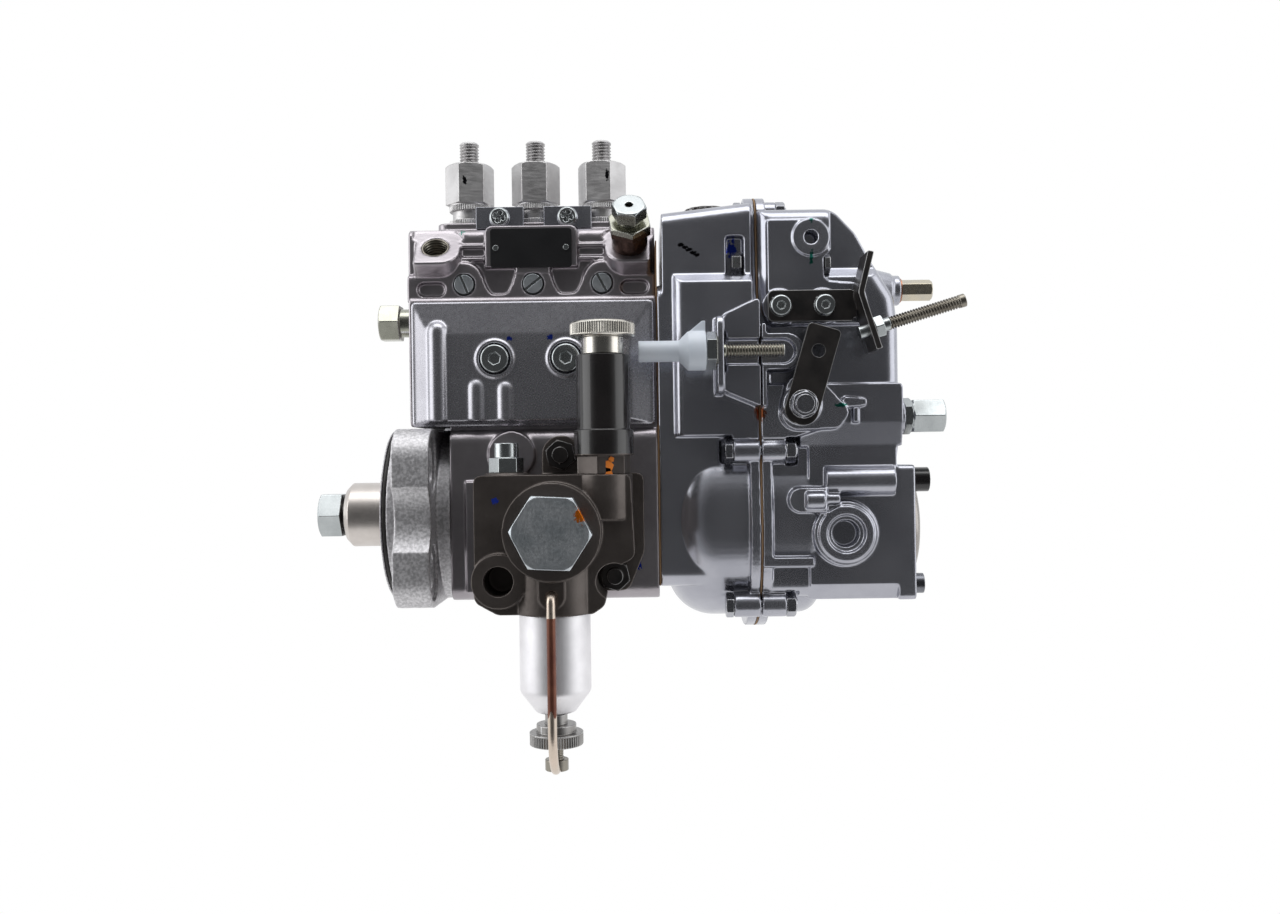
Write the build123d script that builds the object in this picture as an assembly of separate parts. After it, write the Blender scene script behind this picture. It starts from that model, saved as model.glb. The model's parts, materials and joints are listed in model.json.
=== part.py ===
"""Three-cylinder in-line diesel injection pump with governor, feed pump and hand primer.

Millimetres. The origin is on the camshaft axis at the mounting face of the drive flange. +X runs along the
camshaft to the governor, -Y is the feed pump side, +Z points up along the pumping elements.
"""
from build123d import *
import math
import os

# ---------------------------------------------------------------- driving dimensions
# Fits
running = 0.03          # radial play of a shaft or slide in its bore
pressed = 0.02          # radial play of a part that stays in its seat
passing = 0.3           # gap between parts that move past each other
gasket = 0.6            # thickness of a paper gasket

# Pumping elements, along X
cylinder_count = 3
cylinder_pitch = 32.0
first_cylinder_x = 28.0

# Camshaft
journal_r = 10.0
shaft_r = 11.0
cam_base_r = 12.0
cam_nose_r = 6.0
cam_lift = 8.0
cam_width = 12.0
eccentric_r = 17.0
eccentric_throw = 3.0
eccentric_width = 8.0
taper_end_r = 7.8
taper_left_x = -32.0
thread_r = 6.0
shaft_end_x = -44.0
governor_stub_r = 6.0
governor_stub_end_x = 169.0

# Shaft end pieces
nut_af = 20.0
nut_left_x = -45.4
washer_left_x = -34.6
washer_r = 10.3
sleeve_r = 15.3
sleeve_seal_r = 15.0
sleeve_step_x = -9.5
sleeve_right_x = 2.7

# Bearings and seal
bearing_r = 21.0
bearing_width = 10.6
ring_wall = 3.3
roller_r = 2.3
roller_count = 10
drive_bearing_x = 3.0
governor_bearing_x = 106.0
seal_left_x = -7.0
seal_width = 8.0

# Drive flange
pilot_r = 40.5
pilot_left_x = -9.0
groove_left_x = -8.2
groove_width = 2.0
groove_depth = 2.2
flange_thickness = 16.4
flange_half_height = 40.0
flange_half_width = 58.0
slot_y = 46.0
slot_z = 24.0
slot_r = 5.25
slot_length = 17.0
waist_r = 20.0
waist_y = 61.0
hub_r = 40.5
hub_right_x = 22.8

# Pump housing
housing_right_x = 116.7
cam_case_half_width = 40.0
cam_case_bottom_z = -38.0
cam_case_top_z = 40.0
cam_chamber_r = 24.0
base_plug_r = 12.0
spring_case_left_x = 4.5
spring_case_bottom_z = 41.0
spring_case_front_y = 4.0 - cam_case_half_width
spring_case_back_y = cam_case_half_width - 4.0
spring_case_top_z = 100.0
head_left_x = 1.5
head_front_y = -20.0
head_back_y = 24.0
head_top_z = 134.0
deck_z = 138.0
deck_left_x = 14.0

# Pumping element parts, along Z
tappet_r = 13.5
tappet_length = 20.0
roller_tappet_r = 8.5
roller_width = 9.0
tappet_pin_r = 4.0
plunger_r = 4.0
plunger_top_z = 115.5
vane_half = 9.3
vane_thickness = 3.0
vane_z = 68.5
vane_height = 5.0
seat_r = 13.0
seat_height = 3.0
spring_inner_r = 10.3
spring_outer_r = 12.9
upper_plate_z = 79.0
upper_plate_height = 2.5
window_r = 12.7
barrel_low_r = 8.0
barrel_low_z = 82.0
barrel_high_r = 9.4
barrel_step_z = 100.0
barrel_top_z = 124.0
control_sleeve_r = 9.6
control_sleeve_bottom_z = 64.0
control_sleeve_top_z = 95.0

# Rack and quadrants
rack_z = 90.6
rack_r = 4.0
rack_left_x = 0.6
rack_right_x = 168.0
tooth_module = 1.0
gear_pitch_r = 11.0
gear_half_height = 2.8
quadrant_half_angle = 78.0
rack_travel = 9.6

# Delivery holders
holder_hex_af = 20.3
holder_hex_z = 148.5
holder_hex_top_z = 167.5
holder_neck_r = 8.3
holder_collar_r = 9.9
holder_low_collar_z = 138.1
holder_collar_height = 2.6
holder_high_collar_z = 145.2
holder_foot_r = 8.9
holder_tip_r = 4.7
holder_tip_z = 178.8
holder_bore_r = 1.5
holder_turns = (12.0, 0.0, -9.0)
valve_r = 5.5

# Lock plates
lock_bottom_z = 134.6
lock_top_z = 144.8
lock_front_y = -15.0
lock_depth = 8.0
lock_half_length = 11.2
lock_screw_z = 139.6
lock_screw_head_r = 4.6

# Head details
barrel_screw_z = 107.2
barrel_screw_r = 4.7
ridge_y = -23.4
ridge_top_z = 112.0
ridge_arch_r = 8.6
rib_low_z = 118.5
rib_high_z = 124.5
plate_left_x = 40.5
plate_right_x = 78.3
plate_bottom_z = 114.5
plate_top_z = 132.7
plate_thickness = 1.0
plate_face_y = -24.0
gallery_x = 14.8
gallery_z = 124.8
gallery_y = -23.0
gallery_tilt = 40.0
gallery_boss_r = 11.4
gallery_boss_out = 9.6
gallery_boss_in = 11.7
gallery_boss_up = 9.8
gallery_thread_r = 6.2
gallery_thread_depth = 13.0
overflow_body_r = 8.3
overflow_hex_af = 18.0
overflow_neck_r = 5.0
overflow_small_af = 14.0

# Side cover
cover_left_x = 5.8
cover_right_x = 115.8
cover_bottom_z = 40.6
cover_top_z = 97.3
cover_plate = 2.0
cover_rise = 3.2
cover_field_left = 15.0
cover_field_right = 105.0
cover_field_bottom = 43.5
cover_field_top = 82.0
cover_bulges = ((18.2, 5.0, 88.5, 2.2), (35.5, 5.2, 63.5, 1.5), (48.6, 5.2, 62.5, 1.5))
cover_screw_z = 71.0
cover_screw_r = 6.4
cover_boss_r = 8.6

# Rack cap
rack_cap_left_x = -12.6
rack_cap_af = 16.0

# Governor joint plane and outline
joint_x = 162.0
rim_width = 4.6
rim_low_r = 49.0
rim_low_z = -6.5
rim_top_z = 144.8
rim_top_half = 36.0
rim_corner_r = 12.0
joint_bolt_r = 3.0
joint_bolt_af = 10.0
joint_boss_r = 5.6
joint_boss_length = 12.0
cover_boss_length = 11.0
bell_r = 47.0
bell_z = -3.0
bell_left_x = 121.0
bell_chamber_r = 41.5
bell_cone_length = 8.0
bell_throat_r = 32.5
governor_wall = 4.0
governor_block_x = 119.5
governor_block_top_z = 136.5
governor_block_low_z = 99.0
governor_block_front_y = -40.0
governor_mid_x = 124.5
governor_mid_front_y = -45.0
governor_mid_low_z = 35.0
bolt_pocket_depth = 5.0
governor_back_y = 38.0
top_cap_x = 143.0
top_cap_y = 4.0
top_cap_z = 142.2
top_cap_r = 11.6
top_cap_height = 3.6
top_cap_scallops = 12
governor_cover_top_z = 137.2
governor_cover_front_y = -42.0
cover_edge_r = 7.0
cover_panel_y = -45.5
cover_recess_y = -37.0
drum_end_x = 192.0
rear_flange_x = 223.5
rear_flange_right_x = 231.5
rear_flange_half = 35.0
rear_flange_top_z = 21.0
rear_flange_low_z = -40.6
rear_bore_r = 26.0

# Governor mechanism
carrier_x = 122.5
carrier_r = 19.0
carrier_width = 4.0
weight_pin_x = 130.0
weight_pin_z = 26.0
weight_pin_r = 2.5
weight_inner_r = 25.0
weight_outer_r = 38.0
weight_left_x = 135.5
weight_right_x = 149.0
toe_arm = 16.0
sleeve_collar_x = 136.6
sleeve_collar_r = 14.0
sleeve_tube_r = 9.0
sleeve_right_end_x = 183.0
lever_x = 176.0
lever_pivot_z = -28.0
lever_pin_r = 4.0
lever_peg_r = 2.8
lever_top_pin_r = 2.5

# Control lever and stops
control_x = 179.6
control_z = 47.9
control_tilt = 16.6
control_hole_distance = 24.1
control_width = 14.7
control_top = 35.0
control_foot = 9.0
control_thickness = 3.0
control_face_y = -60.5
control_shaft_r = 5.0
full_screw_z = 71.6
full_screw_y = -59.0
full_screw_r = 2.9
full_screw_tip_x = 171.8
full_screw_left_x = 128.0
full_lug_x = 142.4
full_lug_thickness = 3.1
lug_front_y = -54.0
groove_floor_y = -49.5
groove_half = 5.6
idle_screw_r = 2.9
idle_screw_length = 48.0
idle_screw_y = -59.0
bracket_y = -50.0
bracket_thickness = 2.6

# Feed pump
feed_x = 71.8
feed_z = -4.5
feed_mount_y = -cam_case_half_width
feed_flange_y = feed_mount_y - 8.0
feed_top_z = 19.0
feed_bottom_z = -39.6
feed_dome_r = 20.4
feed_dome_y = -86.5
feed_plug_af = 29.6
feed_plug_y = -93.5
feed_bore_r = 11.0
push_rod_r = 4.0
feed_stroke = 6.0
feed_piston_length = 13.4
spring_seat_depth = 3.9
port_x = 48.9
port_z = -25.1
port_boss_r = 11.4
port_r = 6.2
port_depth = 16.0

# Outlet fitting and primer
outlet_x = 51.4
outlet_y = -66.0
outlet_af = 13.0
outlet_r = 5.4
primer_x = 93.3
primer_y = -68.0
primer_base_af = 20.5
primer_base_top_z = 27.9
primer_collar_r = 12.8
primer_collar_top_z = 37.7
primer_barrel_r = 11.5
primer_barrel_top_z = 69.5
primer_bore_r = 8.5
primer_neck_r = 9.0
primer_knob_r = 14.0
primer_knob_z = 77.0
primer_knob_top_z = 83.5
primer_rod_r = 3.0

# Strainer bowl and bail
bowl_x = 71.3
bowl_y = -66.0
bowl_r = 15.2
bowl_wall = 1.6
bowl_straight_z = -73.0
bowl_bottom_z = -82.7
bail_r = 22.0
bail_wire_r = 1.9
bail_pivot_z = -31.0
bail_hook = 7.0
bail_arc_z = -84.5
clamp_button_r = 4.8
clamp_collar_r = 8.5
clamp_disc_r = 11.5
clamp_disc_z = -91.5
clamp_bottom_z = -96.0
clamp_stud_r = 3.0
clamp_bore_top_z = -85.2
clamp_travel = 4.5

cylinder_xs = [first_cylinder_x + n * cylinder_pitch for n in range(cylinder_count)]
middle_xs = [(a + b) / 2 for a, b in zip(cylinder_xs[:-1], cylinder_xs[1:])]
last_cylinder_x = cylinder_xs[-1]
governor_left_x = housing_right_x + gasket
cover_face_x = joint_x + gasket
nose_reach = cam_base_r + cam_lift
nodes = {}


# ---------------------------------------------------------------- shaping helpers
def block(x0, x1, y0, y1, z0, z1):
    """Rectangular block between two corners."""
    size = Box(x1 - x0, y1 - y0, z1 - z0)
    return Pos((x0 + x1) / 2, (y0 + y1) / 2, (z0 + z1) / 2) * size


def rounded(solid, direction, radius):
    """Solid with its edges parallel to one axis rounded."""
    return fillet(solid.edges().filter_by(direction), radius)


def rod(radius, start, end):
    """Round bar from one point to another."""
    line = Vector(*end) - Vector(*start)
    base = Plane(origin=start, z_dir=line)
    return base * Cylinder(radius, line.length, align=(Align.CENTER, Align.CENTER, Align.MIN))


def cone(radius, end_radius, start, end):
    """Tapered round bar from one point to another."""
    line = Vector(*end) - Vector(*start)
    base = Plane(origin=start, z_dir=line)
    return base * Cone(radius, end_radius, line.length, align=(Align.CENTER, Align.CENTER, Align.MIN))


def tube(outer, inner, start, end):
    """Round tube from one point to another."""
    return rod(outer, start, end) - rod(inner, start, end)


def hexagon(across_flats, start, end, turn=0.0, crown=0.0):
    """Hexagon bar with an optional chamfered crown at its far end."""
    line = Vector(*end) - Vector(*start)
    base = Plane(origin=start, z_dir=line)
    shape = RegularPolygon(across_flats / 2, 6, major_radius=False, rotation=turn)
    bar = base * extrude(shape, line.length)
    if crown > 0:
        corner = across_flats / math.sqrt(3)
        envelope = Cylinder(corner, line.length, align=(Align.CENTER, Align.CENTER, Align.MIN))
        top = envelope.edges().filter_by(GeomType.CIRCLE).sort_by(Axis.Z)[-1]
        bar = bar & (base * chamfer(top, crown * 0.6, crown))
    return bar


def front_plate(points, radii, y_front, y_back):
    """Plate with an outline in X and Z, from its front to its back."""
    edge = FilletPolyline(*points, radius=radii, close=True)
    base = Plane(origin=(0, y_back, 0), x_dir=(1, 0, 0), z_dir=(0, -1, 0))
    return extrude(base * make_face(edge), y_back - y_front)


def side_plate(face, x0, x1):
    """Plate whose outline is drawn in Y and Z, from one X to another."""
    base = Plane(origin=(x0, 0, 0), x_dir=(0, 1, 0), z_dir=(1, 0, 0))
    return extrude(base * face, x1 - x0)


def wedge(*points):
    """Flat face from its corners."""
    return make_face(Polyline(*points, close=True))


def joined(solids):
    """One solid made of several that touch."""
    total = solids[0]
    for solid in solids[1:]:
        total = total + solid
    return total


def tilted(distance, x, across=0.0):
    """Point at a distance along the tilted gallery axis, from the centre of the gallery boss face."""
    lean = math.radians(gallery_tilt)
    y = gallery_y - distance * math.cos(lean) + across * math.sin(lean)
    z = gallery_z + distance * math.sin(lean) + across * math.cos(lean)
    return (x, y, z)


def rim_face(inset=0.0):
    """Outline of the governor joint: a round bell below and a narrower top."""
    corner = rim_corner_r - inset
    low = CenterArc((0, rim_low_z), rim_low_r - inset, 0, 360)
    across = rim_top_half - rim_corner_r
    up = rim_top_z - rim_corner_r
    left = CenterArc((-across, up), corner, 0, 360)
    right = CenterArc((across, up), corner, 0, 360)
    return make_hull([low, left, right])


# ---------------------------------------------------------------- camshaft group
def cam_lobe(x, angle):
    """Cam whose nose points away from straight up by an angle."""
    base = Circle(cam_base_r)
    reach = nose_reach - cam_nose_r
    lean = math.radians(angle)
    nose = Pos(reach * math.sin(lean), reach * math.cos(lean)) * Circle(cam_nose_r)
    lobe = make_hull((base + nose).edges())
    return side_plate(lobe, x - cam_width / 2, x + cam_width / 2)


def camshaft():
    """Camshaft with its cams, the feed pump eccentric, the coupling taper and the governor stub."""
    axis_points = [
        rod(thread_r, (shaft_end_x, 0, 0), (taper_left_x, 0, 0)),
        cone(taper_end_r, journal_r, (taper_left_x, 0, 0), (0, 0, 0)),
        rod(journal_r, (0, 0, 0), (hub_right_x - 1, 0, 0)),
        rod(shaft_r, (hub_right_x - 1, 0, 0), (governor_bearing_x - 1.5, 0, 0)),
        rod(journal_r, (governor_bearing_x - 1.5, 0, 0), (carrier_x + carrier_width, 0, 0)),
        rod(governor_stub_r, (carrier_x + carrier_width, 0, 0), (governor_stub_end_x, 0, 0)),
    ]
    shaft = joined(axis_points)
    for number, x in enumerate(cylinder_xs):
        shaft += cam_lobe(x, 60.0 + number * 360.0 / cylinder_count)
    left = feed_x - eccentric_width / 2
    right = feed_x + eccentric_width / 2
    shaft += rod(eccentric_r, (left, eccentric_throw, 0), (right, eccentric_throw, 0))
    return shaft


def shaft_end_pieces():
    """Nut, dished washer and guide sleeve on the coupling taper."""
    nut_right_x = washer_left_x - 0.05
    nut = hexagon(nut_af, (nut_right_x, 0, 0), (nut_left_x, 0, 0), 30, 1.6)
    nodes["shaft_nut"] = nut - rod(thread_r + pressed, (nut_left_x - 1, 0, 0), (nut_right_x + 1, 0, 0))
    washer_right_x = taper_left_x - 0.3
    washer = cone(washer_r, washer_r - 1.4, (washer_right_x, 0, 0), (washer_left_x, 0, 0))
    nodes["shaft_washer"] = washer - rod(thread_r + 0.2, (washer_left_x - 1, 0, 0), (washer_right_x + 1, 0, 0))
    sleeve = rod(sleeve_r, (taper_left_x - 0.25, 0, 0), (sleeve_step_x, 0, 0))
    sleeve = chamfer(sleeve.edges().filter_by(GeomType.CIRCLE).sort_by(Axis.X)[0], 2.5)
    sleeve += rod(sleeve_seal_r, (sleeve_step_x - 1, 0, 0), (sleeve_right_x, 0, 0))
    taper = cone(taper_end_r + pressed, journal_r + pressed, (taper_left_x, 0, 0), (0, 0, 0))
    taper += rod(journal_r + pressed, (-0.5, 0, 0), (sleeve_right_x + 1, 0, 0))
    taper += rod(taper_end_r + pressed, (taper_left_x - 2, 0, 0), (taper_left_x + 0.5, 0, 0))
    nodes["shaft_sleeve"] = sleeve - taper


def bearing_rings():
    """Inner rings with rollers, which turn with the shaft, and outer rings, which stay."""
    inner, outer = [], []
    inner_top = journal_r + ring_wall
    pitch_r = inner_top + roller_r + pressed
    outer_low = pitch_r + roller_r + 0.05
    for x in (drive_bearing_x, governor_bearing_x):
        end = x + bearing_width
        inner.append(tube(inner_top, journal_r + pressed, (x, 0, 0), (end, 0, 0)))
        outer.append(tube(bearing_r, outer_low, (x, 0, 0), (end, 0, 0)))
        for n in range(roller_count):
            angle = 2 * math.pi * n / roller_count
            y = pitch_r * math.cos(angle)
            z = pitch_r * math.sin(angle)
            inner.append(rod(roller_r, (x + 1.5, y, z), (end - 1.5, y, z)))
    nodes["bearing_inner_rings"] = Compound(children=inner)
    nodes["bearing_outer_rings"] = Compound(children=outer)


# ---------------------------------------------------------------- drive flange
def drive_flange():
    """Cast flange with two slotted ears, the pilot, the O-ring groove and the bearing hub."""
    ears = Rectangle(2 * flange_half_width, 2 * flange_half_height)
    ears = fillet(ears.vertices(), 15)
    for side in (-1, 1):
        ears -= Pos(side * (waist_y + waist_r * 0.55), 0) * Circle(waist_r)
    plate = side_plate(ears, 0, flange_thickness)
    plate += rod(pilot_r, (pilot_left_x, 0, 0), (0, 0, 0))
    plate += rod(hub_r, (flange_thickness, 0, 0), (hub_right_x, 0, 0))
    groove = tube(pilot_r + 1, pilot_r - groove_depth, (groove_left_x, 0, 0), (groove_left_x + groove_width, 0, 0))
    plate -= groove
    for y in (-slot_y, slot_y):
        for z in (-slot_z, slot_z):
            slot = Pos(y, z) * SlotOverall(slot_length, 2 * slot_r, rotation=90)
            plate -= side_plate(slot, -1, flange_thickness + 1)
            relief = Pos(y, z) * SlotOverall(slot_length + 8, 2 * slot_r + 7, rotation=90)
            plate -= side_plate(relief, flange_thickness - 1.2, flange_thickness + 1)
    bore_end = drive_bearing_x + bearing_width
    plate -= rod(bearing_r + pressed, (pilot_left_x - 1, 0, 0), (bore_end, 0, 0))
    plate -= rod(bearing_r - 3, (bore_end - 1, 0, 0), (hub_right_x + 1, 0, 0))
    plate -= rod(cam_chamber_r, (bore_end + 3, 0, 0), (hub_right_x + 1, 0, 0))
    plate -= rod(tappet_r + passing, (first_cylinder_x, 0, 0), (first_cylinder_x, 0, hub_r + 1))
    plate -= cone(pilot_r - 8, bearing_r, (pilot_left_x - 0.1, 0, 0), (pilot_left_x + 3, 0, 0))
    nodes["drive_flange"] = plate


def rubber_seals():
    """O-ring on the pilot and the lip seal round the guide sleeve."""
    ring_section_r = (groove_width - 0.1) / 2
    middle_r = pilot_r - 0.25 - ring_section_r
    base = Plane(origin=(groove_left_x + groove_width / 2, 0, 0), z_dir=(1, 0, 0))
    nodes["pilot_o_ring"] = base * Torus(middle_r, ring_section_r)
    seal_right_x = seal_left_x + seal_width
    seal = tube(bearing_r, sleeve_seal_r + 0.09, (seal_left_x, 0, 0), (seal_right_x, 0, 0))
    seal -= tube(bearing_r - 1.5, sleeve_r + 2, (seal_left_x - 1, 0, 0), (seal_left_x + seal_width / 2, 0, 0))
    nodes["shaft_seal"] = seal


# ---------------------------------------------------------------- pump housing
def housing_outside():
    """Outer walls of the pump housing casting."""
    case = block(
        hub_right_x + 0.05, housing_right_x, -cam_case_half_width, cam_case_half_width,
        cam_case_bottom_z, cam_case_top_z,
    )
    case = rounded(case, Axis.X, 7)
    chest = block(
        spring_case_left_x, housing_right_x, spring_case_front_y, spring_case_back_y,
        spring_case_bottom_z, spring_case_top_z,
    )
    chest = rounded(chest, Axis.X, 3)
    head = block(head_left_x, housing_right_x, head_front_y, head_back_y, spring_case_top_z - 2, head_top_z)
    head = rounded(head, Axis.X, 5)
    deck = block(deck_left_x, last_cylinder_x + 16, -13, 15, head_top_z - 2, deck_z)
    deck = rounded(deck, Axis.Z, 5)
    waist = block(
        hub_right_x + 0.05, housing_right_x, spring_case_front_y, spring_case_back_y,
        cam_case_top_z - 10, spring_case_bottom_z + 3,
    )
    body = case + waist + chest + head + deck
    ridge = block(head_left_x, housing_right_x, ridge_y, head_front_y + 2, spring_case_top_z - 1, ridge_top_z)
    body += fillet(ridge.edges().filter_by(Axis.X).group_by(Axis.Y)[0].sort_by(Axis.Z)[-1], 2.2)
    for x in cylinder_xs:
        arch = rod(ridge_arch_r, (x, head_front_y + 1, barrel_screw_z + 2), (x, ridge_y, barrel_screw_z + 2))
        body += fillet(arch.edges().filter_by(GeomType.CIRCLE).sort_by(Axis.Y)[0], 1.5)
    for z in (rib_low_z, rib_high_z):
        body += block(first_cylinder_x - 2, plate_left_x, head_front_y - 1.8, head_front_y + 1, z, z + 1.6)
        body += block(plate_right_x, last_cylinder_x + 2, head_front_y - 1.8, head_front_y + 1, z, z + 1.6)
    pad = block(
        plate_left_x - 2.5, plate_right_x + 2.5, plate_face_y, head_front_y, plate_bottom_z - 2.5, plate_top_z + 1.5
    )
    body += rounded(pad, Axis.Y, 3)
    for x in middle_xs:
        scoop = [
            (x - 8.5, ridge_top_z + 3), (x - 6.5, 107.5), (x - 3.8, 102.6),
            (x + 3.8, 102.6), (x + 6.5, 107.5), (x + 8.5, ridge_top_z + 3),
        ]
        body -= front_plate(scoop, [0.5, 4, 3, 3, 4, 0.5], ridge_y - 2, head_front_y + 0.5)
    for side in (1, -1):
        x = cylinder_xs[1] - side * (cylinder_xs[1] - gallery_x)
        body += gallery_boss(x, side, -24)
        body -= gallery_boss(x, side, 16, 1.5)
        oval = [(x - 8.5, 102.0), (x - 8.5, 108.2), (x + 4.5, 108.2), (x + 4.5, 102.0)]
        if side < 0:
            oval = [(2 * x - a, b) for a, b in oval]
        body -= front_plate(oval, 3.0, ridge_y - 1, ridge_y + 2.6)
    return body


def gallery_boss(x, side, length, margin=0.0):
    """Rounded block along the tilted gallery axis; its outer corners on the narrow side are nearly square."""
    lean = math.radians(gallery_tilt)
    axis = (0, -math.cos(lean), math.sin(lean))
    plane = Plane(origin=tilted(0, x), x_dir=(1, 0, 0), z_dir=axis)
    narrow, wide = -side * (gallery_boss_out + margin), side * (gallery_boss_in + margin)
    low, high = -gallery_boss_r - margin, gallery_boss_up + margin
    corners = [(narrow, low), (wide, low), (wide, high), (narrow, high)]
    outline = FilletPolyline(*corners, radius=[1.5, 9, 8, 2], close=True)
    return extrude(plane * make_face(outline), length)


def housing_outer_details(body):
    """Bosses, ribs and pads on the lower half of the housing."""
    body += rod(10.5, (51.0, -38, 27.8), (51.0, -42.5, 27.8))
    body += block(30, 35, -42.0, -36, cam_case_bottom_z + 4, 16)
    body -= block(35.5, 110.5, feed_mount_y - 5, feed_mount_y, cam_case_bottom_z, feed_top_z + passing)
    for n in range(5):
        x = 34 + 17 * n
        body += block(x, x + 3, 36, 42, cam_case_bottom_z + 6, 34)
    return body


def housing_cavities(body):
    """Cam chamber, bearing seat, element bores, spring chamber, rack bore and gallery threads."""
    body -= rod(cam_chamber_r, (hub_right_x - 1, 0, 0), (governor_bearing_x - 1, 0, 0))
    body -= rod(bearing_r + pressed, (governor_bearing_x - 2, 0, 0), (housing_right_x + 1, 0, 0))
    plate_bottom = upper_plate_z
    for x in cylinder_xs:
        body -= rod(tappet_r + running, (x, 0, 14), (x, 0, plate_bottom + upper_plate_height))
        body -= rod(window_r, (x, 0, 70), (x, 0, barrel_step_z))
        body -= rod(barrel_high_r + pressed, (x, 0, barrel_step_z - 1), (x, 0, barrel_top_z))
        body -= rod(holder_foot_r + pressed, (x, 0, barrel_top_z - 1), (x, 0, deck_z + 1))
        body -= rod(barrel_screw_r - 1.6 + pressed, (x, 0, barrel_screw_z), (x, head_front_y - 4, barrel_screw_z))
        seat_y = head_front_y - 1
        body -= rod(barrel_screw_r + passing, (x, seat_y, barrel_screw_z), (x, seat_y - 3, barrel_screw_z))
    for x in middle_xs:
        body -= rod(base_plug_r, (x, 0, cam_case_bottom_z - 1), (x, 0, -10))
    window_left = cylinder_xs[0] - window_r - 2
    window_right = last_cylinder_x + window_r + 2
    body -= block(window_left, window_right, spring_case_front_y - 1, -tappet_r + 6, 48, 92)
    rack_y = rack_y_position()
    rack_bore = rack_r + running
    body -= rod(rack_bore, (head_left_x - 6, rack_y, rack_z), (housing_right_x + 1, rack_y, rack_z))
    for x in (gallery_x, 2 * cylinder_xs[1] - gallery_x):
        body -= rod(gallery_thread_r, tilted(1, x), tilted(-gallery_thread_depth, x))
    body -= rod(push_rod_r + running, (feed_x, -18, feed_z), (feed_x, -cam_case_half_width - 5, feed_z))
    return body


def rack_y_position():
    """Distance of the rack axis from the element axes, so that its teeth reach the pitch line."""
    return -(gear_pitch_r - tooth_module + rack_r)


def pump_housing():
    """The pump housing casting, with the holes for what is screwed to it."""
    body = housing_outer_details(housing_outside())
    body = housing_cavities(body)
    for x in middle_xs:
        seat_y = spring_case_front_y
        body -= rod(3.0 + pressed, (x, seat_y - 1, cover_screw_z), (x, seat_y + 5, cover_screw_z))
        body -= rod(2.5 + pressed, (x, -14, lock_screw_z), (x, -4, lock_screw_z))
    for x, z in feed_stud_places():
        body -= rod(3.5 + pressed, (x, feed_mount_y - 5, z), (x, feed_mount_y + 8, z))
    nodes["pump_housing"] = body


def feed_stud_places():
    """Where the feed pump's studs stand in the housing."""
    return ((73.7, 27.4), (97.0, -26.0))


# ---------------------------------------------------------------- pumping elements
def pumping_element(number, x):
    """Tappet, plunger, spring and toothed control sleeve of one cylinder."""
    roller_z = nose_reach + roller_tappet_r + passing
    floor_z = roller_z + roller_tappet_r + 2.5
    top_z = roller_z - 5 + tappet_length
    shell = rod(tappet_r, (x, 0, roller_z - 5), (x, 0, top_z))
    shell -= rod(tappet_r - 2.5, (x, 0, floor_z), (x, 0, top_z + 1))
    gap = roller_width / 2 + 0.15
    shell -= block(x - gap, x + gap, -tappet_r, tappet_r, roller_z - 6, roller_z + 5.0)
    side = math.sqrt(tappet_r ** 2 - gap ** 2) - 1
    shell -= block(x - gap, x + gap, -side, side, roller_z + 4, roller_z + roller_tappet_r + 0.3)
    pin_half = tappet_r - 3
    pin_ends = ((x - pin_half, 0, roller_z), (x + pin_half, 0, roller_z))
    shell -= rod(tappet_pin_r + pressed, *pin_ends)
    roller_ends = ((x - roller_width / 2, 0, roller_z), (x + roller_width / 2, 0, roller_z))
    roller = tube(roller_tappet_r, tappet_pin_r + pressed, *roller_ends)
    nodes[f"tappet_{number}"] = Compound(children=[shell, roller, rod(tappet_pin_r, *pin_ends)])

    stem = rod(plunger_r, (x, 0, floor_z + 0.1), (x, 0, plunger_top_z))
    stem += rod(6.0, (x, 0, floor_z + 0.1), (x, 0, floor_z + 2.5))
    stem += block(x - vane_half, x + vane_half, -vane_thickness / 2, vane_thickness / 2, vane_z, vane_z + vane_height)
    groove = tube(plunger_r + 1, plunger_r - 0.6, (x, 0, plunger_top_z - 14), (x, 0, plunger_top_z - 9))
    helix_cut = block(x + 2.4, x + 6, -2, 2, plunger_top_z - 10, plunger_top_z + 1)
    stem = stem - groove - helix_cut
    seat_z = top_z + 0.1
    seat = tube(seat_r, plunger_r + 0.3, (x, 0, seat_z), (x, 0, seat_z + seat_height))
    nodes[f"plunger_{number}"] = Compound(children=[stem, seat])

    spring_low = (x, 0, seat_z + seat_height + 0.1)
    spring_high = (x, 0, upper_plate_z - 0.1)
    nodes[f"plunger_spring_{number}"] = tube(spring_outer_r, spring_inner_r, spring_low, spring_high)
    nodes[f"control_sleeve_{number}"] = control_sleeve(x)


def control_sleeve(x):
    """Sleeve round the barrel foot, with slots for the plunger vane and a toothed quadrant."""
    sleeve = rod(control_sleeve_r, (x, 0, control_sleeve_bottom_z), (x, 0, control_sleeve_top_z))
    sleeve += quadrant(x)
    sleeve -= rod(barrel_low_r + running, (x, 0, control_sleeve_bottom_z - 1), (x, 0, control_sleeve_top_z + 1))
    slot_half = vane_thickness / 2 + 0.08
    slot_top = vane_z + vane_height + cam_lift + passing
    sleeve -= block(x - 12, x + 12, -slot_half, slot_half, control_sleeve_bottom_z - 1, slot_top)
    return sleeve


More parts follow.
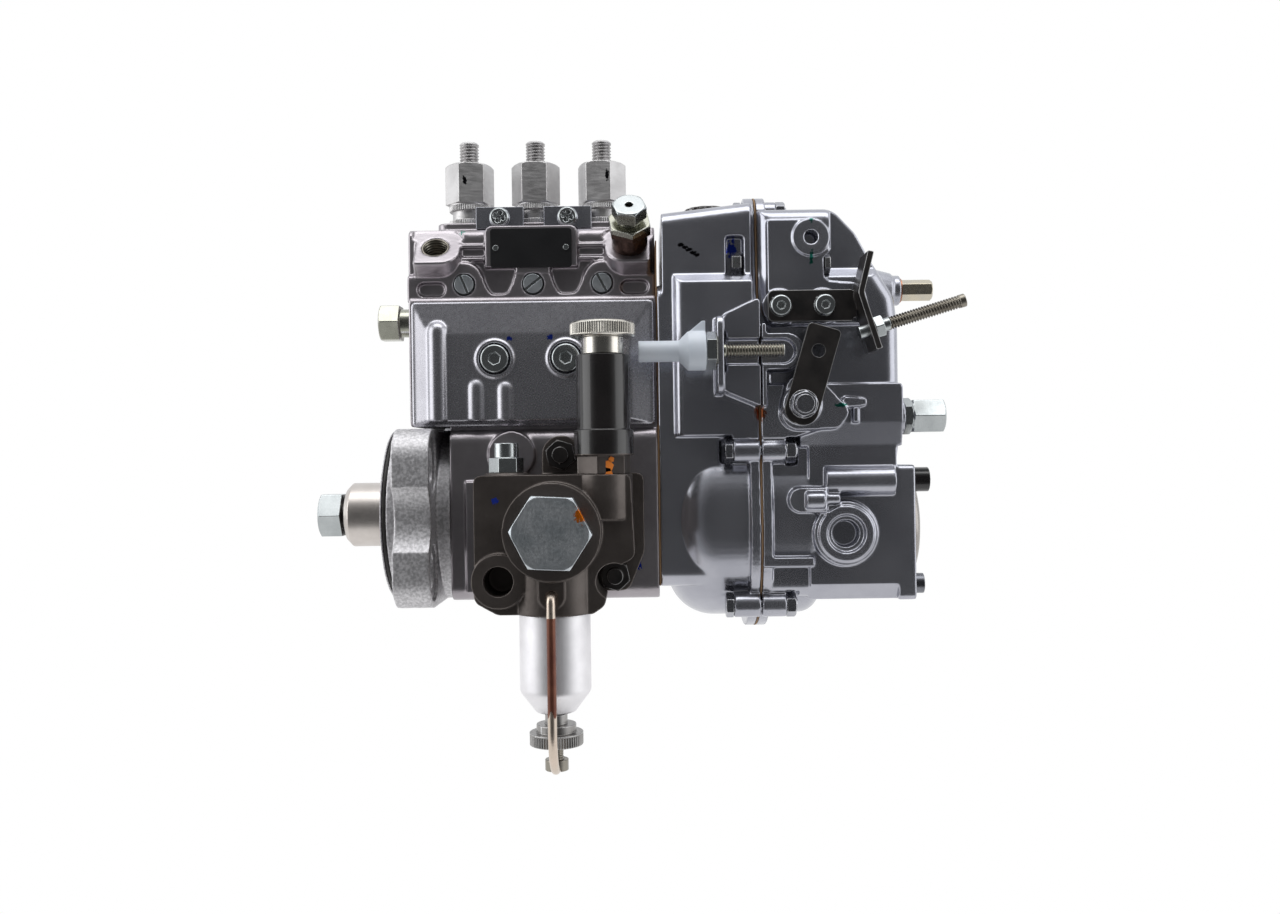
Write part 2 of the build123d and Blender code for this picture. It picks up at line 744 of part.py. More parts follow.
def quadrant(x):
    """Toothed sector that meshes with the rack on the -Y side."""
    tip_r = gear_pitch_r + tooth_module - 0.1
    root_r = gear_pitch_r - 1.2 * tooth_module
    start = -90 - quadrant_half_angle
    low = rack_z - gear_half_height
    disc = Circle(root_r)
    tooth_angle = 360 * tooth_module / (2 * gear_pitch_r)
    count = int(quadrant_half_angle / tooth_angle)
    half_pitch = math.pi * tooth_module / 4 - 0.12
    slope = math.tan(math.radians(20))
    half_root = half_pitch + slope * 1.1 * tooth_module
    half_tip = half_pitch - slope * tooth_module * 1.15
    for n in range(-count, count + 1):
        tooth = make_face(Polyline(
            (root_r - 0.4, -half_root), (tip_r, -half_tip), (tip_r, half_tip), (root_r - 0.4, half_root), close=True
        ))
        disc += Rot(0, 0, -90 + n * tooth_angle) * tooth
    return Pos(x, 0, low) * extrude(disc, 2 * gear_half_height)


def control_rack():
    """Round rack bar with a tooth row at each element and a fork at the governor end."""
    y = rack_y_position()
    bar = rod(rack_r, (rack_left_x, y, rack_z), (rack_right_x, y, rack_z))
    pitch = math.pi * tooth_module
    space_half = pitch / 4 + 0.12
    slope = math.tan(math.radians(20))
    root_y = -(gear_pitch_r + 1.25 * tooth_module)
    tip_y = -(gear_pitch_r - tooth_module) + 0.6
    reach = rack_travel + 4
    steps = int(reach / pitch)
    deep = tip_y - root_y
    for x in cylinder_xs:
        for n in range(-steps, steps + 1):
            centre = x + n * pitch
            low_half = space_half - slope * (-gear_pitch_r - root_y)
            high_half = space_half + slope * (deep - (-gear_pitch_r - root_y))
            space = make_face(Polyline(
                (centre - low_half, root_y), (centre + low_half, root_y),
                (centre + high_half, tip_y), (centre - high_half, tip_y), close=True,
            ))
            bar -= Pos(0, 0, rack_z - rack_r - 1) * extrude(space, 2 * rack_r + 2)
    fork_low = rack_z - 6.5
    fork_high = rack_z + 6.5
    half = lever_top_pin_r + 0.25
    fork = block(rack_right_x - 2, lever_x + half + 4, y - 3, y + 3, fork_low, fork_high)
    fork -= block(lever_x - half, lever_x + half, y - 4, y + 4, fork_low + 3, fork_high + 1)
    nodes["control_rack"] = bar + fork


def barrels():
    """Barrels, upper spring plates, delivery valves and valve springs."""
    sleeves, plates, valves, springs = [], [], [], []
    for x in cylinder_xs:
        barrel = rod(barrel_low_r, (x, 0, barrel_low_z), (x, 0, barrel_step_z + 1))
        barrel += rod(barrel_high_r, (x, 0, barrel_step_z), (x, 0, barrel_top_z))
        barrel -= rod(plunger_r + running, (x, 0, barrel_low_z - 1), (x, 0, barrel_top_z + 1))
        barrel -= rod(1.5, (x, -12, barrel_screw_z + 4), (x, 12, barrel_screw_z + 4))
        barrel -= rod(1.7 + pressed, (x, -12, barrel_screw_z), (x, -barrel_high_r + 2.2, barrel_screw_z))
        sleeves.append(barrel)
        plate_top = (x, 0, upper_plate_z + upper_plate_height)
        plates.append(tube(tappet_r - 0.1, control_sleeve_r + passing, (x, 0, upper_plate_z), plate_top))
        seat_z = barrel_top_z + 0.05
        valve = tube(valve_r + 2.6, 2.6, (x, 0, seat_z), (x, 0, seat_z + 9))
        valve += rod(2.6, (x, 0, seat_z + 2), (x, 0, seat_z + 9))
        valve += cone(3.6, 2.0, (x, 0, seat_z + 9), (x, 0, seat_z + 12))
        valves.append(valve)
        spring_z = seat_z + 9.1
        springs.append(tube(5.0, 3.75, (x, 0, spring_z), (x, 0, spring_z + 14)))
    nodes["pump_barrels"] = Compound(children=sleeves)
    nodes["spring_plates"] = Compound(children=plates)
    nodes["delivery_valves"] = Compound(children=valves)
    nodes["delivery_springs"] = Compound(children=springs)


def delivery_holder(x, turn):
    """Delivery valve holder: threaded foot, two serrated collars, hexagon and pipe thread."""
    foot_z = barrel_top_z + 9.6
    holder = rod(holder_foot_r, (x, 0, foot_z), (x, 0, holder_low_collar_z))
    holder += rod(holder_collar_r, (x, 0, holder_low_collar_z), (x, 0, holder_low_collar_z + holder_collar_height))
    holder += rod(holder_neck_r, (x, 0, holder_low_collar_z), (x, 0, holder_hex_z))
    holder += rod(holder_collar_r, (x, 0, holder_high_collar_z), (x, 0, holder_hex_z))
    holder += hexagon(holder_hex_af, (x, 0, holder_hex_z), (x, 0, holder_hex_top_z), turn, 1.4)
    tip = rod(holder_tip_r, (x, 0, holder_hex_top_z - 1), (x, 0, holder_tip_z))
    holder += chamfer(tip.edges().filter_by(GeomType.CIRCLE).sort_by(Axis.Z)[-1], 0.8)
    holder -= rod(5.2, (x, 0, foot_z - 1), (x, 0, foot_z + 16))
    holder -= rod(holder_bore_r, (x, 0, foot_z), (x, 0, holder_tip_z + 1))
    holder -= cone(holder_bore_r, 3.2, (x, 0, holder_tip_z - 2.5), (x, 0, holder_tip_z + 0.1))
    return holder


def head_pieces():
    """Holders, lock plates, slotted screws, name plate and overflow valve on the head."""
    holders = [delivery_holder(x, turn) for x, turn in zip(cylinder_xs, holder_turns)]
    nodes["delivery_holders"] = Compound(children=holders)
    plates, screws = [], []
    back_y = lock_front_y + lock_depth
    for x in middle_xs:
        plate = block(x - lock_half_length, x + lock_half_length, lock_front_y, back_y, lock_bottom_z, lock_top_z)
        plate += block(x - 4.5, x + 4.5, back_y - 1, back_y + 4, deck_z + 0.05, lock_top_z)
        for side in (-1, 1):
            near = x + side * cylinder_pitch / 2
            plate -= rod(holder_collar_r + 0.15, (near, 0, deck_z), (near, 0, lock_top_z + 1))
        plate -= block(x - 20, x + 20, -13.1, back_y + 5, head_top_z - 1, deck_z + 0.05)
        plate -= rod(2.5 + pressed, (x, lock_front_y - 1, lock_screw_z), (x, back_y + 5, lock_screw_z))
        plates.append(plate)
        head = rod(lock_screw_head_r, (x, lock_front_y, lock_screw_z), (x, lock_front_y - 3.2, lock_screw_z))
        head = chamfer(head.edges().filter_by(GeomType.CIRCLE).sort_by(Axis.Y)[0], 0.8)
        head += rod(2.5, (x, lock_front_y - 1, lock_screw_z), (x, back_y + 3, lock_screw_z))
        head -= block(x - 2.6, x + 2.6, lock_front_y - 4, lock_front_y - 2, lock_screw_z - 0.6, lock_screw_z + 0.6)
        head -= block(x - 0.6, x + 0.6, lock_front_y - 4, lock_front_y - 2, lock_screw_z - 2.6, lock_screw_z + 2.6)
        screws.append(head)
    nodes["lock_plates"] = Compound(children=plates)
    nodes["lock_screws"] = Compound(children=screws)
    nodes["barrel_screws"] = Compound(children=[barrel_screw(x) for x in cylinder_xs])

    badge = block(
        plate_left_x, plate_right_x, plate_face_y - plate_thickness, plate_face_y, plate_bottom_z, plate_top_z
    )
    badge = rounded(badge, Axis.Y, 1.5)
    rivets = []
    for x in (plate_left_x + 2.6, plate_right_x - 2.6):
        z = (plate_bottom_z + plate_top_z) / 2
        front = plate_face_y - plate_thickness
        rivets.append(rod(1.3, (x, front, z), (x, front - 0.6, z)))
    nodes["name_plate"] = badge
    nodes["plate_rivets"] = Compound(children=rivets)
    nodes["overflow_valve"] = overflow_valve()


def barrel_screw(x):
    """Slotted screw that keeps one barrel from turning."""
    face = head_front_y - 2.5
    top = face - 1.2
    screw = rod(barrel_screw_r, (x, head_front_y - 1.05, barrel_screw_z), (x, top, barrel_screw_z))
    screw += rod(barrel_screw_r - 1.6, (x, top + 1, barrel_screw_z), (x, -barrel_high_r - 0.5, barrel_screw_z))
    screw += rod(1.7, (x, -barrel_high_r - 1, barrel_screw_z), (x, -barrel_high_r + 1.8, barrel_screw_z))
    cut = block(-6, 6, -1, 1, -0.65, 0.65)
    return screw - Pos(x, top - 0.1, barrel_screw_z) * Rot(0, 42, 0) * cut


def overflow_valve():
    """Overflow valve in the second gallery thread: round body, two hexagons and a neck."""
    x = 2 * cylinder_xs[1] - gallery_x
    valve = rod(gallery_thread_r - pressed, tilted(-9, x), tilted(0, x))
    valve += rod(overflow_body_r, tilted(0.05, x), tilted(8.5, x))
    valve += hexagon(overflow_hex_af, tilted(8.5, x), tilted(14, x), 8, 1.0)
    valve += rod(overflow_neck_r, tilted(13, x), tilted(16.5, x))
    valve += hexagon(overflow_small_af, tilted(16.5, x), tilted(23, x), 20, 1.2)
    return valve - rod(1.8, tilted(12, x), tilted(24, x))


# ---------------------------------------------------------------- covers on the pump half
def side_cover():
    """Dished side cover over the spring chamber, with a boss at each screw and its bulges."""
    left, right = cover_left_x, cover_right_x
    low, high = cover_bottom_z, cover_top_z
    back_y = spring_case_front_y
    rim_y = back_y - cover_plate
    face_y = rim_y - cover_rise
    plate = rounded(block(left, right, rim_y, back_y, low, high), Axis.Y, 2)
    base = Plane(origin=((left + right) / 2, rim_y, (low + high) / 2), x_dir=(1, 0, 0), z_dir=(0, -1, 0))
    outer = base * Rectangle(right - left - 3, high - low - 2)
    field_x = (cover_field_left + cover_field_right) / 2
    field_z = (cover_field_bottom + cover_field_top) / 2
    field = Plane(origin=(field_x, face_y, field_z), x_dir=(1, 0, 0), z_dir=(0, -1, 0))
    inner = field * Rectangle(cover_field_right - cover_field_left, cover_field_top - cover_field_bottom)
    plate += loft([outer, inner])
    for x, half, top, rise in cover_bulges:
        bulge = rod(half, (x, face_y + half - rise, low + 2.5), (x, face_y + half - rise, top - half))
        bulge += Pos(x, face_y + half - rise, top - half) * Sphere(half)
        plate += bulge & block(left + 1, right - 1, face_y - 4, rim_y, low + 1.6, high)
    for x in middle_xs:
        plate += rod(cover_boss_r, (x, rim_y, cover_screw_z), (x, face_y - 1.2, cover_screw_z))
        plate -= rod(cover_screw_r + 0.6, (x, face_y - 2, cover_screw_z), (x, face_y + 1.2, cover_screw_z))
        plate -= rod(3.0 + pressed, (x, face_y - 2, cover_screw_z), (x, back_y + 1, cover_screw_z))
    nodes["side_cover"] = plate
    screws = []
    seat_y = face_y + 1.2
    for x in middle_xs:
        head = rod(cover_screw_r, (x, seat_y, cover_screw_z), (x, seat_y - 3.4, cover_screw_z))
        head = fillet(head.edges().filter_by(GeomType.CIRCLE).sort_by(Axis.Y)[0], 1.0)
        head += rod(3.0, (x, seat_y - 1, cover_screw_z), (x, spring_case_front_y + 4, cover_screw_z))
        socket = hexagon(5.0, (x, seat_y - 4, cover_screw_z), (x, seat_y - 1.8, cover_screw_z), 10)
        screws.append(head - socket)
    nodes["side_cover_screws"] = Compound(children=screws)


def rack_cap():
    """Hexagon cap that closes the rack bore at the drive end."""
    y = rack_y_position()
    right_x = spring_case_left_x - 0.05
    cap = hexagon(rack_cap_af, (right_x - 7.5, y, rack_z), (rack_cap_left_x, y, rack_z), 30, 1.2)
    cap += rod(6.6, (right_x, y, rack_z), (rack_cap_left_x + 6, y, rack_z))
    cap -= rod(rack_r + 0.4, (rack_cap_left_x + 2.0, y, rack_z), (right_x + 1, y, rack_z))
    nodes["rack_end_cap"] = cap


def base_plugs():
    """Plugs that close the cam chamber from below."""
    plugs = []
    for x in middle_xs:
        plug = rod(base_plug_r - pressed, (x, 0, cam_case_bottom_z), (x, 0, -cam_chamber_r - 4))
        plugs.append(plug - hexagon(8, (x, 0, cam_case_bottom_z - 1), (x, 0, cam_case_bottom_z + 4)))
    nodes["base_plugs"] = Compound(children=plugs)


# ---------------------------------------------------------------- governor castings
def governor_housing():
    """Governor housing: bell round the flyweights, upper chest, rim, lugs and pads."""
    left = governor_left_x
    front, back = governor_block_front_y, governor_back_y
    base = block(left, joint_x, -cam_case_half_width, cam_case_half_width, -33, governor_block_low_z + 5)
    base = rounded(base, Axis.X, 8)
    sections = []
    for x, top_z in ((governor_block_x, governor_block_top_z), (joint_x - 2, governor_block_top_z + 4.5)):
        low_z = governor_block_low_z - 6
        plane = Plane(origin=(x, (front + back - 4) / 2, (low_z + top_z) / 2), x_dir=(0, 1, 0), z_dir=(1, 0, 0))
        sections.append(plane * RectangleRounded(back - 4 - front, top_z - low_z, 7))
    top = loft(sections, ruled=True)
    middle = block(governor_mid_x, joint_x - 2, governor_mid_front_y, back, governor_mid_low_z, 108)
    middle = fillet(middle.edges().filter_by(Axis.Z).sort_by(Axis.X)[:2], 5)
    slope = wedge((governor_mid_front_y - 1, 103.0), (governor_mid_front_y - 1, 109), (front + 1, 109))
    middle -= side_plate(slope, left, joint_x)
    bell = rod(bell_r, (bell_left_x, 0, bell_z), (joint_x, 0, bell_z))
    bell = fillet(bell.edges().filter_by(GeomType.CIRCLE).sort_by(Axis.X)[0], 22)
    shell = base + top + middle + bell
    shell += side_plate(rim_face(), joint_x - rim_width, joint_x)
    lug = block(full_lug_x, full_lug_x + full_lug_thickness, -63.0, -44, 53, 87)
    lug = fillet(lug.edges().filter_by(Axis.X).sort_by(Axis.Y)[:2], 5)
    shell += lug
    lug_block = [(146.4, 54), (146.4, 88.4), (160.3, 94.8), (joint_x, 94.8), (joint_x, 47.5), (159.5, 48.5)]
    shell += front_plate(lug_block, [2, 2, 3, 0.5, 0.5, 3], lug_front_y, -40)
    shell += rod(top_cap_r + 1.5, (top_cap_x, top_cap_y, governor_block_top_z - 3), (top_cap_x, top_cap_y, top_cap_z))
    pocket = block(joint_x - 13.5, joint_x - rim_width - 1, front - 1, front + bolt_pocket_depth, 104.5, 125)
    shell -= rounded(pocket, Axis.Y, 1.2)
    for y, z, reach in bolt_places():
        seat_x = joint_x - reach
        shell -= rod(joint_boss_r + 1.2, (seat_x - 5.5, y, z), (seat_x, y, z))
        shell += rod(joint_boss_r, (seat_x, y, z), (joint_x, y, z))
    shell -= block(146, joint_x + 1, -60, groove_floor_y, full_screw_z - groove_half, full_screw_z + groove_half)
    lug_back_x = full_lug_x + full_lug_thickness
    shell -= block(lug_back_x, lug_back_x + 1.5, -66, lug_front_y + 6, full_screw_z - 9, full_screw_z + 9)
    screw_hole_r = full_screw_r + pressed
    shell -= rod(screw_hole_r, (full_lug_x - 1, full_screw_y, full_screw_z), (150, full_screw_y, full_screw_z))
    throat_x = governor_left_x + 9.5
    shell -= rod(bell_throat_r, (governor_left_x + 4.7, 0, 0), (throat_x + 1, 0, 0))
    shell -= cone(bell_throat_r, bell_chamber_r, (throat_x, 0, 0), (throat_x + bell_cone_length, 0, 0))
    shell -= rod(bell_chamber_r, (throat_x + bell_cone_length, 0, 0), (joint_x + 1, 0, 0))
    shell -= block(governor_mid_x + governor_wall, joint_x + 1, front + 6, back - governor_wall, 0, 96)
    shell -= block(governor_block_x + 5, joint_x + 1, front + 6, back - 9, 90, governor_block_top_z - 5)
    shell -= rod(journal_r + 2, (left - 1, 0, 0), (left + 6, 0, 0))
    y = rack_y_position()
    shell -= rod(rack_r + 1.0, (left - 1, y, rack_z), (left + 30, y, rack_z))
    for y, z, reach in bolt_places():
        shell -= rod(joint_bolt_r + pressed, (joint_x - reach - 1, y, z), (joint_x + 1, y, z))
    nodes["governor_housing"] = shell


def bolt_places():
    """Joint bolts: Y and Z of each, and how far its boss reaches into the governor housing."""
    low_r = bell_r + joint_bolt_af / math.sqrt(3) + passing + 0.3
    places = []
    for degrees in (144.5, 226, 314, 35.5):
        angle = math.radians(degrees)
        places.append((low_r * math.cos(angle), bell_z + low_r * math.sin(angle), joint_boss_length))
    places.append((rim_top_half + 11, 80, joint_boss_length))
    places.append((-16, rim_top_z - 5.5, rim_width))
    places.append((16, rim_top_z - 5.5, rim_width))
    return places


def governor_gaskets():
    """Paper gaskets between the pump, the governor housing and the cover."""
    half = cam_case_half_width
    lower = Pos(0, 0) * Rectangle(2 * half, cam_case_top_z - cam_case_bottom_z - 6)
    lower = Pos(0, 4) * lower
    upper = Pos(0, 78) * Rectangle(2 * abs(spring_case_front_y), 92)
    sheet = lower + upper - Circle(bearing_r + 2) - Pos(rack_y_position(), rack_z) * Circle(rack_r + 1.5)
    nodes["housing_gasket"] = side_plate(sheet, housing_right_x, governor_left_x)
    ring = rim_face() - rim_face(7.0)
    for y, z, _ in bolt_places():
        ring -= Pos(y, z) * Circle(joint_bolt_r + passing)
    nodes["cover_gasket"] = side_plate(ring, joint_x, cover_face_x)


def governor_cover():
    """Governor cover: rounded chest, panel, ledges, drum, bar, capsule, stepped boss and end flange."""
    left = cover_face_x
    front, back = governor_cover_front_y, governor_back_y
    outline = [
        (left, -38), (left, governor_cover_top_z), (197, governor_cover_top_z), (207.5, 126), (214.5, 113),
        (224.5, 97), (226, 84), (226, 31), (rear_flange_x + 1, 20), (rear_flange_x + 1, -38),
    ]
    chest = front_plate(outline, [4, 0.5, 10, 12, 30, 10, 20, 6, 3, 3], front, back)
    front_edges = chest.edges().group_by(Axis.Y)[0]
    upper = [edge for edge in front_edges if edge.center().Z > 32 and edge.center().X > left + 1]
    chest = fillet(upper, cover_edge_r)
    recess = [(192, 110), (192, 116), (195.4, 118.5), (195.4, 140), (222, 140), (222, 110)]
    chest -= front_plate(recess, 0.8, front - 1, cover_recess_y)
    slope = wedge((cover_recess_y, 110.1), (front - 1, 110.1), (front - 1, 104.6))
    chest -= side_plate(slope, 192, 222)
    shell = chest
    panel = [
        (left + 4, 84), (left + 4, 131), (194.6, 131), (194.6, 116.5), (191.6, 114), (191.6, 103.5),
        (209, 102), (213, 84),
    ]
    shell += front_plate(panel, [1, 1, 7.5, 2, 1.5, 4, 6, 3], cover_panel_y, front + 3)
    ledge = [(left, 33.5), (left, 57.5), (225.8, 57.5), (225.8, 40.5), (199, 40.5), (177, 33.5)]
    shell += front_plate(ledge, [1, 1, 2, 2, 8, 8], -47.5, front + 3)
    band = wedge((front + 2, 42), (-47.4, 42), (-47.4, 40.4), (-43.5, 29.5), (front + 2, 29.5))
    shell += side_plate(band, 180, 225.8)
    drum = rod(bell_r - 0.5, (left, 0, bell_z), (drum_end_x, 0, bell_z))
    shell += fillet(drum.edges().filter_by(GeomType.CIRCLE).sort_by(Axis.X)[-1], 9)
    box_low = rear_flange_low_z + 1
    box = block(184, rear_flange_x, -43.5, 40, box_low, 31)
    corner = wedge((-44, box_low + 8), (-44, box_low - 1), (-35.5, box_low - 1))
    shell += box - side_plate(corner, 183, rear_flange_x + 1)
    shell += block(left, 185.5, -47.5, -30, -23.8, -19.4)
    shell += side_plate(rim_face(), left, left + rim_width)
    half = rear_flange_half
    flange = block(rear_flange_x, rear_flange_right_x, -half - 9, half, rear_flange_low_z + 1, rear_flange_top_z)
    shell += rounded(flange, Axis.X, 3)
    shell += rod(8.4, (186.0, front, 122.8), (186.0, cover_panel_y - 1.4, 122.8))
    shell += rod(14.5, (199.6, front, -9.2), (199.6, -48.2, -9.2))
    shell += rod(12.4, (199.6, front, -9.2), (199.6, -49.5, -9.2))
    shell += rod(6.4, (190.8, -43.5, 14.1), (222, -43.5, 14.1))
    shell += front_plate([(174.2, 0.4), (174.2, 11.4), (191, 11.4), (191, 0.4)], [5.4, 5.4, 0.5, 0.5], -50.4, -40)
    shell += rod(4.0, (181.5, -50.0, 5.9), (189.8, -50.0, 5.9))
    shell += rod(2.4, (188, -48.5, 6.4), (196.8, -48.5, 6.4))
    low, high = full_screw_z - 8, full_screw_z + 8
    stadium = [(left, low), (left, high), (181.2, high), (181.2, low)]
    shell += front_plate(stadium, [0.5, 0.5, 7.8, 7.8], lug_front_y, -40)
    shell += block(left, left + 2.2, lug_front_y, -40, 47.5, 84.0)
    shell += front_plate([(199, 51.5), (208.6, 50.5), (208.6, 47.3), (196, 46.3)], 1.0, -53, -44)
    shell += block(203, 205.6, -50, -44, 40, 48)
    for x in (171.3, 190.7):
        shell += rod(8.0, (x, -44, 91.6), (x, bracket_y, 91.6))
    boss = [(168.5, 36.5), (174, 60), (185, 63), (201.5, 44.5), (196, 37.5)]
    shell += front_plate(boss, [8, 8, 6, 4, 4], -54, -44)
    shell += rod(8.5, (control_x, -45, control_z), (control_x, -57, control_z))
    seat_x = left + cover_boss_length
    for y, z, _ in bolt_places():
        shell -= rod(joint_boss_r + 1.2, (seat_x, y, z), (seat_x + 5.5, y, z))
        shell += rod(joint_boss_r, (left, y, z), (seat_x, y, z))
    shell += cone(10.5, 8.0, (217, -20, 102), (226.5, -20, 102)) + rod(7.0, (220, -20, 102), (230.5, -20, 102))
    shell += rod(8.5, (218, -30, 43), (229, -30, 43))
    nodes["governor_cover"] = governor_cover_cuts(shell)


def governor_cover_cuts(shell):
    """Inside spaces and holes of the governor cover."""
    left = cover_face_x
    back = governor_back_y
    shell -= rod(bell_chamber_r, (left - 1, 0, 0), (drum_end_x - 8, 0, 0))
    shell -= rod(36.0, (left - 1, 0, 0), (rear_flange_x - 4, 0, 0))
    shell -= block(left - 1, 200, -33, back - 5, 0, 108)
    shell -= block(200 - 1, 221, -33, back - 5, 34, 90)
    shell -= rod(rear_bore_r - 4, (rear_flange_x - 6, 0, -8), (rear_flange_right_x + 1, 0, -8))
    low, high = full_screw_z - groove_half, full_screw_z + groove_half
    groove = [(left - 1, low), (left - 1, high), (177.6, high), (177.6, low)]
    shell -= front_plate(groove, [0.2, 0.2, groove_half - 0.1, groove_half - 0.1], -62, groove_floor_y)
    shell -= rod(control_shaft_r + running, (control_x, -30, control_z), (control_x, -60, control_z))
    shell -= rod(8.4, (199.6, -50, -9.2), (199.6, -46.5, -9.2))
    shell -= rod(6.0, (199.6, -50, -9.2), (199.6, -40.5, -9.2))
    shell -= rod(3.0, (186.0, -50, 122.8), (186.0, -38, 122.8))
    for x in (171.3, 190.7):
        shell -= rod(2.5 + pressed, (x, -52, 91.6), (x, -42, 91.6))
    for y, z, _ in bolt_places():
        shell -= rod(joint_bolt_r + pressed, (left - 1, y, z), (left + cover_boss_length + 1, y, z))
    shell -= rod(lever_pin_r + pressed, (lever_x, -41, lever_pivot_z), (lever_x, 37, lever_pivot_z))
    for y, z in rear_screw_places():
        shell -= rod(3.0 + pressed, (rear_flange_x + 2, y, z), (rear_flange_right_x + 1, y, z))
    shell -= rod(5.0, (216, -20, 102), (232, -20, 102))
    shell -= rod(4.0 + pressed, (219, -30, 43), (231, -30, 43))
    return shell


def rear_screw_places():
    """Screws at the corners of the rear plate, in Y and Z."""
    half = rear_flange_half - 6
    return [(y, z) for y in (-half, half) for z in (rear_flange_low_z + 7, rear_flange_top_z - 7)]


def rear_plate():
    """Steel end plate with a dished centre, its screws and the cap screw."""
    half = rear_flange_half - 0.5
    x0 = rear_flange_right_x + 0.05
    plate = rounded(block(x0, x0 + 2, -half, half, rear_flange_low_z + 0.5, rear_flange_top_z - 0.5), Axis.X, 8)
    dome = rod(rear_bore_r, (x0, 0, -8), (x0 + 7, 0, -8))
    plate += fillet(dome.edges().filter_by(GeomType.CIRCLE).sort_by(Axis.X)[-1], 4.5)
    plate -= rod(rear_bore_r - 5, (x0 - 1, 0, -8), (x0 + 4.5, 0, -8))
    screws = []
    face = x0 + 2
    for y, z in rear_screw_places():
        plate -= rod(3.2, (x0 - 1, y, z), (x0 + 3, y, z))
        upper = z > 0
        head_r, length = (5.6, 7.0) if upper else (4.6, 4.2)
        screw = rod(head_r, (face + 0.05, y, z), (face + length, y, z))
        screw += rod(3.0, (rear_flange_x + 3, y, z), (face + 1, y, z))
        screws.append(screw - hexagon(5.0, (face + length - 3, y, z), (face + length + 1, y, z)))
    nodes["rear_plate"] = plate
    nodes["rear_plate_screws"] = Compound(children=screws)


def joint_bolts():
    """Bolts through the governor joint with their nuts."""
    bolts = []
    right = cover_face_x + cover_boss_length
    for y, z, reach in bolt_places():
        left = joint_x - reach
        bolt = hexagon(joint_bolt_af, (left - 0.05, y, z), (left - 3.6, y, z), 0, 0.8)
        bolt += rod(joint_bolt_r, (left - 1, y, z), (right + 5.2, y, z))
        nut = hexagon(joint_bolt_af, (right + 0.05, y, z), (right + 4.4, y, z), 0, 0.8)
        bolts.append(bolt)
        bolts.append(nut - rod(joint_bolt_r + pressed, (right - 1, y, z), (right + 6, y, z)))
    nodes["joint_bolts"] = Compound(children=bolts)


# ---------------------------------------------------------------- governor mechanism
def flyweights():
    """Carrier on the camshaft and the two flyweights on their pins."""
    carrier = rod(carrier_r, (carrier_x, 0, 0), (carrier_x + carrier_width, 0, 0))
    pins = []
    for side in (-1, 1):
        z = side * weight_pin_z
        for y in (-11.0, 7.0):
            ear = block(carrier_x, weight_pin_x + 4, y, y + 4, *sorted((side * 10, z + side * 4)))
            carrier += ear - rod(weight_pin_r + pressed, (weight_pin_x, y - 1, z), (weight_pin_x, y + 5, z))
        pins.append(rod(weight_pin_r, (weight_pin_x, -11.5, z), (weight_pin_x, 11.5, z)))
    carrier -= rod(journal_r + pressed, (carrier_x - 1, 0, 0), (weight_pin_x, 0, 0))
    nodes["flyweight_carrier"] = Compound(children=[carrier] + pins)
    for number, side in ((1, 1), (2, -1)):
        z = side * weight_pin_z
        mass = tube(weight_outer_r, weight_inner_r, (weight_left_x, 0, 0), (weight_right_x, 0, 0))
        mass = mass & block(weight_left_x, weight_right_x, -20, 20, *sorted((side * 14, side * 50)))
        arm = block(weight_pin_x - 3, weight_left_x + 1, -6.7, 6.7, *sorted((z - side * 3.5, z + side * 4.5)))
        arm += rod(4.5, (weight_pin_x, -6.7, z), (weight_pin_x, 6.7, z))
        toe_z = z - side * toe_arm
        arm += block(weight_pin_x - 0.5, weight_pin_x + 3.5, -5, 5, *sorted((z, toe_z + side * 1)))
        arm += rod(2.6, (weight_pin_x + 3.6, -5, toe_z), (weight_pin_x + 3.6, 5, toe_z))
        weight = mass + arm - rod(weight_pin_r + running, (weight_pin_x, -12, z), (weight_pin_x, 12, z))
        nodes[f"flyweight_{number}"] = weight


def governor_sleeve():
    """Sleeve that the flyweight toes push, with a groove for the guide lever's pegs."""
    right = sleeve_right_end_x
    groove_half = lever_peg_r + 0.2
    sleeve = rod(sleeve_tube_r, (sleeve_collar_x, 0, 0), (right, 0, 0))
    sleeve += rod(sleeve_collar_r, (sleeve_collar_x, 0, 0), (sleeve_collar_x + 3, 0, 0))
    sleeve += rod(sleeve_collar_r, (lever_x - groove_half - 3, 0, 0), (lever_x + groove_half + 3, 0, 0))
    sleeve -= tube(sleeve_collar_r + 1, sleeve_tube_r, (lever_x - groove_half, 0, 0), (lever_x + groove_half, 0, 0))
    sleeve -= rod(governor_stub_r + running, (sleeve_collar_x - 1, 0, 0), (right - 4, 0, 0))
    nodes["governor_sleeve"] = sleeve


def guide_lever():
    """Forked lever from the sleeve groove up to the rack fork."""
    arms = []
    for side in (-1, 1):
        y0, y1 = sorted((side * 15.0, side * 18.5))
        arm = block(lever_x - 4, lever_x + 4, y0, y1, lever_pivot_z, 26)
        arm += rod(5.0 + 0.6, (lever_x, y0, lever_pivot_z), (lever_x, y1, lever_pivot_z))
        peg_end = side * (sleeve_tube_r + 0.5)
        arm += rod(lever_peg_r, (lever_x, side * 16, 0), (lever_x, peg_end, 0))
        arms.append(arm)
    lever = arms[0] + arms[1]
    lever += block(lever_x - 4, lever_x + 4, -18.5, 18.5, 22, 28)
    lever += block(lever_x - 4, lever_x + 4, -8.5, -5.0, 24, rack_z + 6)
    y = rack_y_position()
    lever += rod(lever_top_pin_r, (lever_x, -6, rack_z), (lever_x, y - 3.5, rack_z))
    lever -= rod(lever_pin_r + running, (lever_x, -20, lever_pivot_z), (lever_x, 20, lever_pivot_z))
    nodes["guide_lever"] = lever
    half_pin = 35.5
    pin_ends = ((lever_x, -half_pin, lever_pivot_z), (lever_x, half_pin, lever_pivot_z))
    nodes["lever_pivot_pin"] = rod(lever_pin_r, *pin_ends)


